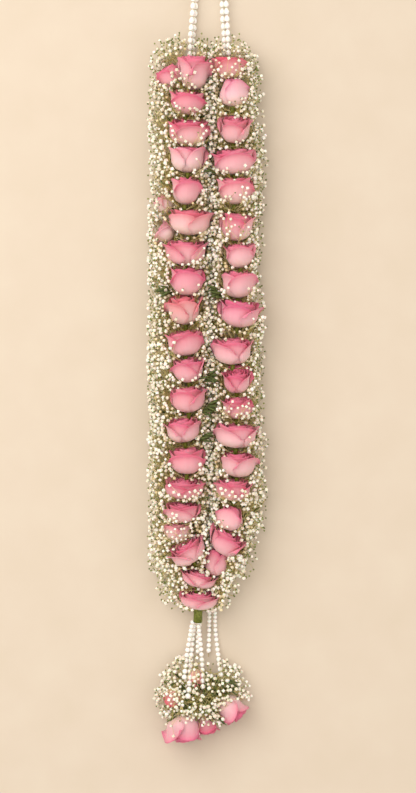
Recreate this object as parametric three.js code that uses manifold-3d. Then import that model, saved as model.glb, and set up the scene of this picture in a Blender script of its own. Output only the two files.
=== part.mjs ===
// A wedding garland of roses and baby's breath, laid on its back on a flat surface.
// Millimetres. +Y runs up the garland to its neck loop, +X is to the right, +Z is up.
// z = 0 is the surface, and y = 0 is halfway between the top flowers and the tassel's lowest petal.
// Two legs lie side by side: each is a rope with roses bound along it, one above another,
// among sprigs of baby's breath. Pearl strands make the neck loop and carry the tassel.
import * as THREE from "three";
import { mergeVertices } from "three/addons/utils/BufferGeometryUtils.js";
import Module from "manifold-3d";

const wasm = await Module();
wasm.setup();

// Driving dimensions.
const GAP = 0.35; // between two pieces that touch
const ROSE_HEIGHT = 39; // of a head's middle above the surface, in the legs
const ROSE_SIDES = 9;
const STEM_RADIUS = 2.6;
const STEM_LENGTH = 7; // what is left below the head of a bound rose
const CALYX_RADIUS = 4.6;
const CALYX_LENGTH = 3;
const CALYX_FLARE = 1; // how far a calyx stands out from a stout stem, at least
const ROPE_DIAMETER = 6;
const ROPE_HEIGHT = 6; // of the rope's middle: it runs behind the heads
const NECK_PEARL = 6.7; // outer diameter of a neck strand
const TASSEL_PEARL = 5.4; // mean outer diameter of a tassel strand
const LEG_BED = { wall: 14, shoulder: 11, inset: 11 }; // baby's breath along a leg
const TASSEL_BED = { wall: 12, shoulder: 11, inset: 10 };
const TASSEL_TAPER = { from: -322, to: -366, least: 0.45 }; // the bunch thins to its strands

// Each rose: middle of the head across and along, the head's width and the length it shows from
// above, its lean towards +X and its tilt up from the surface in degrees, then what differs.
const LEFT_ROSES = [
  [-18, 383, 44, 41, 2, 8],
  [-26, 348, 47, 29, 5, 10],
  [-25, 314, 52, 35, 3, 14],
  [-25, 281, 52, 34, 0, 8],
  [-28, 242, 40, 33, 2, 8],
  [-23, 205, 55, 32, 2, 8],
  [-27, 169, 56, 32, 0, 10],
  [-26, 134, 43, 35, 0, 10],
  [-29, 100, 48, 36, -4, 12],
  [-29, 61, 48, 33, -5, 10],
  [-24, 28, 43, 31, -3, 12],
  [-25, -8, 47, 31, -4, 10],
  [-30, -44, 47, 30, -7, 12],
  [-26, -81, 46, 32, 0, 10],
  [-30, -113, 50, 27, 0, 14],
  [-31, -142, 46, 27, 0, 12],
  [-38, -167, 36, 24, 0, 10, { height: 32 }],
  [-25, -189, 50, 30, -27, 16],
];
const RIGHT_ROSES = [
  [23, 389, 46, 28, 0, 6, { height: 30 }],
  [29, 361, 39, 36, 0, 8, { bud: true }],
  [31, 317, 44, 34, 3, 20],
  [30, 278, 55, 32, -5, 10],
  [31, 243, 47, 34, 0, 8],
  [33, 199, 44, 34, 4, 10],
  [37, 165, 40, 31, -4, 10],
  [35, 131, 45, 35, 0, 10],
  [36, 95, 57, 33, 6, 8],
  [29, 50, 53, 32, 0, 10],
  [34, 17, 40, 32, 0, 25],
  [34, -17, 41, 28, 0, 12],
  [33, -51, 56, 30, 2, 8],
  [35, -86, 47, 30, 4, 10],
  [30, -116, 48, 26, 3, 10],
  [26, -150, 37, 30, 15, 8, { bud: true }],
  [21, -178, 48, 31, 30, 14],
];
const TIP_ROSES = [
  [9, -204, 33, 33, 12, 6, { bud: true, height: 34 }],
  [-11, -223, 48, 25, 12, 14, { height: 33 }],
  [-12, -248, 50, 27, 2, 22, { height: 28, stem: 11, stemRadius: 4.4 }],
];
const SIDE_ROSES = [
  [-47, 379, 32, 29, -30, 5, { height: 27 }],
  [-53, 227, 26, 22, -40, 5, { height: 20 }],
  [-53, 191, 27, 23, -60, 5, { height: 20 }],
];
const TASSEL_ROSES = [
  [-30, -405, 49, 36, 175, 4, { height: 27 }],
  [28, -381, 40, 35, 142, 4, { height: 23 }],
  [-1, -400, 26, 27, 165, 4, { height: 18 }],
  [-15, -346, 19, 22, 180, 4, { height: 19, bud: true, stem: 4 }],
  [-44, -369, 25, 22, 215, 4, { height: 25, bud: true, stem: 4 }],
];

// The half-outline of a head, from calyx to middle: radius by its width, height by its length.
const CUP = [[0.27, 0.08], [0.44, 0.4], [0.5, 0.96], [0.36, 1], [0, 0.9]];
const BUD = [[0.28, 0.08], [0.47, 0.34], [0.48, 0.66], [0.3, 0.96], [0, 1]];
// The plainer hollow that either head leaves in the baby's breath.
const SOCKET = [[0.34, -0.02], [0.5, 0.32], [0.5, 1], [0, 1]];

// Outlines of the baby's breath, seen from above.
const LEFT_BED = [
  [2, 416], [-12, 421], [-32, 423], [-54, 411], [-64, 392], [-66, 350], [-71, 314], [-66, 270],
  [-66, 240], [-71, 205], [-71, 158], [-67, 120], [-71, 80], [-73, 27], [-69, -20], [-68, -60],
  [-71, -90], [-68, -120], [-67, -186], [-62, -206], [-54, -226], [-42, -247], [-24, -260],
  [2, -263],
];
const RIGHT_BED = [
  [20, -258], [36, -238], [50, -218], [58, -200], [62, -169], [69, -150], [72, -124], [66, -92],
  [69, -60], [65, -15], [67, 15], [65, 45], [70, 80], [64, 120], [66, 190], [68, 230], [73, 270],
  [66, 320], [64, 350], [63, 390], [54, 409], [34, 418], [16, 421], [3, 416], [3, -263],
];
const TASSEL_OUTLINE = [
  [-43, -321], [-56, -340], [-65, -364], [-62, -385], [-50, -397], [-26, -404], [0, -403],
  [16, -397], [34, -388], [52, -368], [46, -346], [34, -331], [20, -323], [0, -327], [-20, -324],
];

// Routes of the cords, chosen by hand.
const NECK_ROUTES = {
  neck_pearl_strand_outer: [
    [-22.4, 403, 23], [-22.4, 413, 21.6], [-22.2, 422, 18.9], [-21.8, 431, 15.3], [-20.9, 440, 12.2],
    [-20.4, 449, 10.4], [-19.6, 458, 10], [-18.8, 467, 9.9], [-18.6, 480, 9.5], [-19, 494, 8.6],
    [-19.8, 508, 6.8], [-20.5, 522, 4.4], [-20.7, 538, 3.4], [-20.6, 564, 3.4], [-20.6, 588, 3.4],
    [-19.4, 604, 3.4], [-14.2, 615.4, 3.4], [-5, 621.6, 3.4], [5.8, 621.6, 3.4], [15, 615.4, 3.4],
    [20.3, 604, 3.4], [21.5, 588, 3.4], [21.6, 564, 3.4], [21.6, 538, 3.4], [21.5, 522, 4.8],
    [21.2, 508, 6.8], [21.2, 494, 8], [21.3, 480, 8.5], [21.5, 468, 8.8], [22.1, 458, 9.2],
    [22.7, 448, 10], [23.2, 438, 11.8], [23.4, 428, 15], [23.6, 418, 18.6], [24, 405, 22],
  ],
  neck_pearl_strand_inner: [
    [-18.6, 403, 15.6], [-18.8, 413, 14], [-18.8, 422, 11.2], [-18.6, 431, 7.6], [-17.6, 440, 4.8],
    [-17.2, 449, 3.5], [-16.4, 458, 3.4], [-15.6, 467, 3.4], [-14.8, 480, 3.4], [-14, 494, 3.4],
    [-13.6, 508, 3.4], [-13.4, 522, 3.4], [-13.4, 545, 3.4], [-13.4, 570, 3.4], [-13.4, 590, 3.4],
    [-12.4, 602, 3.4], [-8.2, 610.6, 3.4], [-2.4, 614.2, 3.4], [3.4, 614.2, 3.4], [9.2, 610.6, 3.4],
    [13.4, 602, 3.4], [14.4, 590, 3.4], [14.4, 570, 3.4], [14.4, 545, 3.4], [14.4, 522, 3.4],
    [14.8, 508, 3.4], [15.4, 494, 3.4], [16, 480, 3.4], [16.6, 468, 3.4], [17, 458, 3.4],
    [17.5, 448, 3.8], [18.4, 438, 5], [18.9, 428, 8.4], [19.3, 418, 12.2], [19.6, 405, 15.4],
  ],
};
const TASSEL_ROUTES = {
  tassel_strand_left_outer: [
    [-18.6, -274, 20.6], [-19.4, -277.5, 19.5], [-20.2, -281, 18], [-20.9, -284.5, 16],
    [-21.4, -288, 13.8], [-22, -292, 11.6], [-22.6, -296, 9.8], [-23.3, -300, 8.5],
    [-24, -304, 7.8], [-24.7, -308, 7.8], [-25.4, -312, 8.6], [-26, -316, 10.2],
    [-26.6, -320, 12.4], [-27.1, -324.5, 14.9], [-27.6, -329, 17.6], [-28.1, -333.5, 20.2],
    [-28.6, -338, 22.6], [-29.4, -346, 26],
  ],
  tassel_strand_left_inner: [
    [-15.6, -274, 15.2], [-16.4, -277.5, 13.9], [-17, -281, 12.4], [-17.6, -284.5, 10.5],
    [-18.2, -288, 8.2], [-18.6, -292, 6.1], [-19, -296, 4.6], [-19.4, -300, 3.6],
    [-19.8, -304, 3.2], [-20.2, -308, 3.4], [-20.6, -312, 4.4], [-20.9, -316, 6.2],
    [-21.2, -320, 8.6], [-21.6, -324.5, 11.2], [-21.9, -329, 14], [-22.1, -333.5, 16.7],
    [-22.3, -338, 19.4], [-22.7, -347, 24.4], [-23.5, -358, 29.6], [-25.6, -369, 33],
  ],
  tassel_strand_middle: [
    [-12.6, -274, 20.8], [-12.3, -277.5, 19.8], [-12, -281, 18.4], [-11.6, -284.5, 16.6],
    [-11.2, -288, 14.6], [-10.7, -292, 12.5], [-10.2, -296, 10.8], [-9.9, -300, 9.5],
    [-9.6, -304, 8.8], [-9.2, -308, 8.4], [-8.8, -312, 8.4], [-8.5, -316, 9.4],
    [-8.2, -320, 11], [-7.9, -324.5, 13.2], [-7.7, -329, 15.6], [-7.4, -338, 20.6],
    [-7, -347, 25.2], [-6.6, -357, 29.4],
  ],
  tassel_strand_short: [
    [-9.6, -274, 15], [-10, -276.5, 13.9], [-10.5, -279, 12.5], [-10.8, -281, 11.4],
    [-11.3, -284, 9.5], [-11.7, -286.5, 7.9], [-12, -288.5, 6.6], [-12.3, -291, 5.4],
    [-12.6, -294, 4.3], [-12.8, -297, 3.6], [-12.9, -300.5, 3.3], [-13, -304, 3.2],
    [-13, -308, 3.2], [-12.9, -312, 3.2], [-12.8, -317, 3.2],
  ],
  tassel_strand_loose: [
    [1.2, -259, 11], [1.2, -263, 10.4], [1.2, -267, 9.4], [1.1, -271, 8], [1, -275, 6.4],
    [0.9, -279, 5], [0.8, -283, 4], [0.8, -287.5, 3.4], [0.7, -292, 3.2], [0.6, -296.5, 3.2],
    [0.5, -301, 3.2], [0.4, -305, 3.2], [0.2, -309, 3.2], [0.1, -312.5, 3.2], [0, -316, 3.2],
  ],
  tassel_strand_right: [
    [8, -259, 11], [8, -263, 10.4], [8, -267, 9.4], [8, -271.5, 7.9], [8, -276, 6.2],
    [8.1, -280.5, 4.8], [8.2, -285, 3.8], [8.5, -289.5, 3.3], [8.9, -294, 3.2],
    [9.4, -298.5, 3.2], [9.9, -303, 3.4], [10.4, -307.5, 4.2], [10.9, -312, 5.4],
    [11.5, -316.5, 7.4], [12.2, -321, 10], [13.6, -331, 15.6], [15.4, -343, 22],
  ],
};
const LEFT_ROPE = [
  [-22, 400, ROPE_HEIGHT], [-25, 330, ROPE_HEIGHT], [-26, 240, ROPE_HEIGHT],
  [-27, 140, ROPE_HEIGHT], [-27, 40, ROPE_HEIGHT], [-28, -60, ROPE_HEIGHT],
  [-30, -130, ROPE_HEIGHT], [-27, -180, ROPE_HEIGHT], [-20, -220, ROPE_HEIGHT],
  [-16, -246, ROPE_HEIGHT],
];
const RIGHT_ROPE = [
  [24, 400, ROPE_HEIGHT], [30, 330, ROPE_HEIGHT], [31, 240, ROPE_HEIGHT],
  [35, 140, ROPE_HEIGHT], [33, 40, ROPE_HEIGHT], [33, -60, ROPE_HEIGHT],
  [28, -130, ROPE_HEIGHT], [23, -180, ROPE_HEIGHT], [17, -226, ROPE_HEIGHT],
];
const ROPE_STEPS = 36;
const NECK_STEPS = 40;
const TASSEL_STEPS = 10;
const CORD_SIDES = 8;

function finish(color, roughness) {
  return new THREE.MeshStandardMaterial({ color, roughness, metalness: 0 });
}
const PETAL = finish(0xf08aab, 0.55);
const BREATH = finish(0xf3ecd9, 0.9);
const PEARL = finish(0xf5f2ec, 0.25);
const ROPE = finish(0xe6dcc4, 0.85);

// A closed three.js geometry as a manifold-3d solid, and back.
function solidOf(geometry) {
  const source = geometry.index ? geometry.toNonIndexed() : geometry;
  const bare = new THREE.BufferGeometry();
  bare.setAttribute("position", source.getAttribute("position"));
  const merged = mergeVertices(bare, 1e-3);
  return new wasm.Manifold(new wasm.Mesh({
    numProp: 3,
    vertProperties: merged.getAttribute("position").array,
    triVerts: new Uint32Array(merged.index.array),
  }));
}

function geometryOf(solid) {
  const mesh = solid.getMesh();
  const geometry = new THREE.BufferGeometry();
  geometry.setAttribute("position", new THREE.BufferAttribute(mesh.vertProperties, 3));
  geometry.setIndex(new THREE.BufferAttribute(mesh.triVerts, 1));
  return geometry;
}

// Cuts the cutters away and keeps the largest piece that is left.
function carve(solid, cutters) {
  const rest = cutters.reduce((left, cutter) => left.subtract(cutter), solid);
  const pieces = rest.decompose();
  return pieces.reduce((a, b) => (a.volume() > b.volume() ? a : b));
}

// A half-outline moved outwards by grow, with its ends kept on the axis.
function offset(outline, grow) {
  return outline.map((point, i) => {
    const before = outline[Math.max(i - 1, 0)];
    const after = outline[Math.min(i + 1, outline.length - 1)];
    const normal = new THREE.Vector2(after.y - before.y, before.x - after.x).normalize();
    if (point.x === 0) normal.set(0, Math.sign(normal.y));
    return point.clone().addScaledVector(normal, grow);
  });
}

// One rose from its table row: its place, its solid, the same with room round it for a neighbour,
// and the hollow that it leaves in the baby's breath.
function rose([x, y, width, shown, lean, tilt, extra = {}]) {
  const { bud = false, height = ROSE_HEIGHT, stem = STEM_LENGTH, stemRadius = STEM_RADIUS } = extra;
  const leanAngle = THREE.MathUtils.degToRad(lean);
  const tiltAngle = THREE.MathUtils.degToRad(tilt);
  const length = (shown - 0.5 * width * Math.sin(tiltAngle)) / Math.cos(tiltAngle);
  const base = new THREE.Vector3(
    x - Math.sin(leanAngle) * shown / 2,
    y - Math.cos(leanAngle) * shown / 2,
    height - Math.sin(tiltAngle) * length / 2,
  );
  const place = new THREE.Matrix4().makeRotationZ(-leanAngle);
  place.multiply(new THREE.Matrix4().makeRotationX(tiltAngle)).setPosition(base);
  const calyx = Math.max(CALYX_RADIUS, stemRadius + CALYX_FLARE);
  const shape = (foot, head, grow) => {
    const outline = foot.concat(head.map(([r, h]) => [r * width, h * length]))
      .map(([r, h]) => new THREE.Vector2(r, h));
    const lathe = new THREE.LatheGeometry(offset(outline, grow), ROSE_SIDES);
    return solidOf(lathe.applyMatrix4(place));
  };
  const foot = [[0, -stem], [stemRadius, -stem], [stemRadius, -CALYX_LENGTH], [calyx, 0]];
  const head = bud ? BUD : CUP;
  return {
    place,
    solid: shape(foot, head, 0),
    grown: shape(foot, head, GAP),
    socket: shape([[0, -stem], [calyx, -stem]], SOCKET, GAP),
  };
}

function tube(route, diameter, steps, grow = 0) {
  const curve = new THREE.CatmullRomCurve3(route.map((point) => new THREE.Vector3(...point)));
  const radius = diameter / 2 + grow;
  const section = new THREE.Shape(Array.from({ length: CORD_SIDES }, (_, i) => {
    const angle = (2 * Math.PI * i) / CORD_SIDES;
    return new THREE.Vector2(radius * Math.cos(angle), radius * Math.sin(angle));
  }));
  const settings = { steps, extrudePath: curve, bevelEnabled: false };
  return solidOf(new THREE.ExtrudeGeometry(section, settings));
}

// A bed of baby's breath: a flat underside, sloping shoulders, and an outline seen from above.
function bed(outline, { wall, shoulder, inset }) {
  const shape = new THREE.Shape(outline.map(([x, y]) => new THREE.Vector2(x, y)));
  const settings = {
    depth: wall, bevelEnabled: true, bevelSegments: 1,
    bevelThickness: shoulder, bevelSize: inset, bevelOffset: -inset,
  };
  return new THREE.ExtrudeGeometry(shape, settings).translate(0, 0, shoulder);
}

function thinTowardsStrands(geometry) {
  const position = geometry.getAttribute("position");
  for (let i = 0; i < position.count; i += 1) {
    const along = (position.getY(i) - TASSEL_TAPER.from) / (TASSEL_TAPER.to - TASSEL_TAPER.from);
    const factor = THREE.MathUtils.lerp(TASSEL_TAPER.least, 1, THREE.MathUtils.clamp(along, 0, 1));
    position.setZ(i, position.getZ(i) * factor);
  }
  return geometry;
}

const garland = new THREE.Group();

function add(name, solid, material, place = new THREE.Matrix4()) {
  const mesh = new THREE.Mesh(geometryOf(solid), material.clone());
  mesh.geometry.applyMatrix4(place.clone().invert());
  mesh.applyMatrix4(place);
  mesh.name = name;
  garland.add(mesh);
}

// Cords: the rope in each leg, the two strands of the neck loop and the tassel's strands.
const cords = [];
function addCord(name, route, diameter, steps, material) {
  add(name, tube(route, diameter, steps), material);
  cords.push(tube(route, diameter, steps, GAP));
}
addCord("core_rope_left", LEFT_ROPE, ROPE_DIAMETER, ROPE_STEPS, ROPE);
addCord("core_rope_right", RIGHT_ROPE, ROPE_DIAMETER, ROPE_STEPS, ROPE);
for (const [name, route] of Object.entries(NECK_ROUTES)) {
  addCord(name, route, NECK_PEARL, NECK_STEPS, PEARL);
}
for (const [name, route] of Object.entries(TASSEL_ROUTES)) {
  addCord(name, route, TASSEL_PEARL, TASSEL_STEPS, PEARL);
}

// Roses: each makes room for the cords and for the roses that were placed before it.
const placed = [];
const sockets = [];
function addRoses(prefix, table) {
  table.forEach((row, i) => {
    const { place, solid, grown, socket } = rose(row);
    const near = [...cords, ...placed].filter((other) => !other.intersect(solid).isEmpty());
    add(`${prefix}_${String(i + 1).padStart(2, "0")}`, carve(solid, near), PETAL, place);
    placed.push(grown);
    sockets.push(socket);
  });
}
addRoses("rose_left", LEFT_ROSES);
addRoses("rose_right", RIGHT_ROSES);
addRoses("rose_tip", TIP_ROSES);
addRoses("rose_side", SIDE_ROSES);
addRoses("rose_tassel", TASSEL_ROSES);

// Baby's breath: the roses sit in it and the cords run through it.
const beds = {
  babys_breath_left: bed(LEFT_BED, LEG_BED),
  babys_breath_right: bed(RIGHT_BED, LEG_BED),
  babys_breath_tassel: thinTowardsStrands(bed(TASSEL_OUTLINE, TASSEL_BED)),
};
for (const [name, geometry] of Object.entries(beds)) {
  add(name, carve(solidOf(geometry), [...sockets, ...cords]), BREATH);
}

export default garland;
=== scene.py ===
"""A wedding garland of roses and baby's breath, laid on its back on a table.

Metres, in the frame of the CAD part: +Y runs up the garland to its neck loop and +Z is up.
A rose is a spiral of petals, baby's breath is a thicket of branching stems with a floret at each
tip, and a pearl strand is a row of beads on a thread. Geometry Nodes trees make each of them.
"""

import math
import random

import bmesh
import bpy
from mathutils import Matrix, Vector
from mathutils.bvhtree import BVHTree
from mathutils.geometry import interpolate_bezier


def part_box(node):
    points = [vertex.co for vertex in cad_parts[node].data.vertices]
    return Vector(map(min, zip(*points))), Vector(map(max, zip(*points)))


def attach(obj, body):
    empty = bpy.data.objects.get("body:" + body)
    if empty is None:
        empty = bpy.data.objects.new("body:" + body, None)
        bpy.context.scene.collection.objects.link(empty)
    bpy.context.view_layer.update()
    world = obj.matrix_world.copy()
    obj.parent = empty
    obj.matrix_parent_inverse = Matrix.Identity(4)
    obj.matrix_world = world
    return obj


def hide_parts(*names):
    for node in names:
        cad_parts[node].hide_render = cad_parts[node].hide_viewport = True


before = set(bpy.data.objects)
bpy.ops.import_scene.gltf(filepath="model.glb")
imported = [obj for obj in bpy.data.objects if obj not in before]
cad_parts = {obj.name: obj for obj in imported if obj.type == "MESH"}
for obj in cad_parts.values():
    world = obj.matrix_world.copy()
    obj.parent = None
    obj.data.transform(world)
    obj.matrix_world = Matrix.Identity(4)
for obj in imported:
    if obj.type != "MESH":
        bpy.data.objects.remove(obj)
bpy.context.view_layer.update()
MM = 0.001


# ---------------------------------------------------------------- small tools

def colour(code):
    """An sRGB hex value as linear RGBA."""
    channels = [int(code[i:i + 2], 16) / 255 for i in (1, 3, 5)]
    return [c / 12.92 if c <= 0.04045 else ((c + 0.055) / 1.055) ** 2.4 for c in channels] + [1.0]


def add(tree, kind, settings=None, inputs=None):
    """Adds a node, sets its settings, and gives each input a value or links it to what is given: a
    socket, a node's first output, or a list of these."""
    made = tree.nodes.new(kind)
    for name, value in (settings or {}).items():
        setattr(made, name, value)
    for key, value in (inputs or {}).items():
        for one in value if isinstance(value, list) else [value]:
            if isinstance(one, bpy.types.Node):
                one = one.outputs[0]
            if isinstance(one, bpy.types.NodeSocket):
                tree.links.new(one, made.inputs[key])
            else:
                made.inputs[key].default_value = one
    return made


def new_tree(name, inputs):
    """A Geometry Nodes tree with these named inputs: returns it, its inputs and its output."""
    tree = bpy.data.node_groups.new(name, "GeometryNodeTree")
    tree.interface.new_socket("Geometry", in_out="INPUT", socket_type="NodeSocketGeometry")
    tree.interface.new_socket("Geometry", in_out="OUTPUT", socket_type="NodeSocketGeometry")
    for label, kind in inputs.items():
        tree.interface.new_socket(label, in_out="INPUT", socket_type="NodeSocket" + kind)
    return tree, tree.nodes.new("NodeGroupInput").outputs, tree.nodes.new("NodeGroupOutput").inputs[0]


def close_tree(tree, result, branches):
    """Joins a tree's branches, makes their instances real and gives each its material.
    Each branch is its geometry, the domain that it has (POINT or INSTANCE) and its material."""
    marked = [
        add(tree, "GeometryNodeStoreNamedAttribute", {"data_type": "FLOAT", "domain": domain},
            {"Geometry": geometry, "Name": "branch", "Value": float(k)})
        for k, (geometry, domain, _) in enumerate(branches)
    ]
    joined = add(tree, "GeometryNodeJoinGeometry", inputs={0: marked})
    done = add(tree, "GeometryNodeRealizeInstances", inputs={"Geometry": joined})
    branch = add(tree, "GeometryNodeInputNamedAttribute", {"data_type": "FLOAT"}, {"Name": "branch"})
    for k, (_, _, material) in enumerate(branches):
        chosen = add(tree, "ShaderNodeMath", {"operation": "COMPARE"},
                     {0: branch.outputs["Attribute"], 1: float(k), 2: 0.5})
        done = add(tree, "GeometryNodeSetMaterial", inputs={
            "Geometry": done, "Selection": chosen, "Material": material})
    tree.links.new(done.outputs[0], result)


def grown(name, tree, inputs, seed_mesh=None):
    """Runs a tree on a mesh and returns its result as a plain object, with no modifier left."""
    piece = bpy.data.objects.new(name, seed_mesh or bpy.data.meshes.new(name))
    bpy.context.scene.collection.objects.link(piece)
    modifier = piece.modifiers.new(tree.name, "NODES")
    modifier.node_group = tree
    for item in tree.interface.items_tree:
        if item.in_out == "INPUT" and item.name in inputs:
            modifier[item.identifier] = inputs[item.name]
    depsgraph = bpy.context.evaluated_depsgraph_get()
    mesh = bpy.data.meshes.new_from_object(piece.evaluated_get(depsgraph))
    piece.modifiers.clear()
    piece.data = mesh
    mesh.name = name
    return piece


def mesh_object(name, points, faces=(), edges=(), smooth=True):
    mesh = bpy.data.meshes.new(name)
    mesh.from_pydata([tuple(p) for p in points], list(edges), list(faces))
    for polygon in mesh.polygons:
        polygon.use_smooth = smooth
    piece = bpy.data.objects.new(name, mesh)
    bpy.context.scene.collection.objects.link(piece)
    return piece


def line_object(name, line):
    return mesh_object(name, line, edges=[(i, i + 1) for i in range(len(line) - 1)])


def set_attribute(mesh, name, kind, values):
    """Stores one value for each point: kind is FLOAT, INT or FLOAT_VECTOR."""
    attribute = mesh.attributes.new(name, kind, "POINT")
    flat = [c for v in values for c in v] if kind == "FLOAT_VECTOR" else list(values)
    attribute.data.foreach_set("vector" if kind == "FLOAT_VECTOR" else "value", flat)


def lathe(profile, sides, ripple=0.0):
    """Points and faces of a closed turned shape about Z, from pole to pole, given (radius, height)
    rings. ripple is how far every second side goes in, as a share of the radius."""
    (_, low), *rings, (_, high) = profile
    points = [(0, 0, low)]
    for radius, height in rings:
        for k in range(sides):
            angle = 2 * math.pi * k / sides
            r = radius * (1 - ripple * (k % 2))
            points.append((r * math.cos(angle), r * math.sin(angle), height))
    points.append((0, 0, high))
    faces = [(0, 1 + (k + 1) % sides, 1 + k) for k in range(sides)]
    for ring in range(len(rings) - 1):
        first = 1 + ring * sides
        for k in range(sides):
            after = (k + 1) % sides
            faces.append((first + k, first + after, first + sides + after, first + sides + k))
    first, top = 1 + (len(rings) - 1) * sides, len(points) - 1
    faces += [(first + k, first + (k + 1) % sides, top) for k in range(sides)]
    return points, faces


def smooth_route(route, steps):
    """Points along a smooth curve through a route's points, steps between each two."""
    ends = [route[0] * 2 - route[1], *route, route[-1] * 2 - route[-2]]
    line = []
    for before, start, end, after in zip(ends, ends[1:], ends[2:], ends[3:]):
        leave = start + (end - before) / 6
        arrive = end - (after - start) / 6
        line += interpolate_bezier(start, leave, arrive, end, steps + 1)[:-1]
    return line + [route[-1].copy()]


def length_of(line):
    return sum((b - a).length for a, b in zip(line, line[1:]))


def belongs(piece, slot, *nodes):
    """The piece rides on the garland's only body and stands for these CAD nodes."""
    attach(piece, "root")
    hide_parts(*nodes)
    return piece


# ---------------------------------------------------------------- camera

VIEW_CENTRE = Vector((-0.0006, -0.0048, 0.035))
VIEW_HEIGHT = 0.9516  # of what the camera sees, at the height of the roses
VIEW_DISTANCE = 3.2
SENSOR = 0.036

camera_data = bpy.data.cameras.new("camera")
camera_data.sensor_width = SENSOR / MM
camera_data.lens = SENSOR / MM * VIEW_DISTANCE / VIEW_HEIGHT
camera = bpy.data.objects.new("camera", camera_data)
camera.location = VIEW_CENTRE + Vector((0, 0, VIEW_DISTANCE))
bpy.context.scene.collection.objects.link(camera)
bpy.context.scene.camera = camera


# ---------------------------------------------------------------- cords

# Outer diameters of the strands in the CAD part.
NECK_WIDTH = 0.0067
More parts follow.
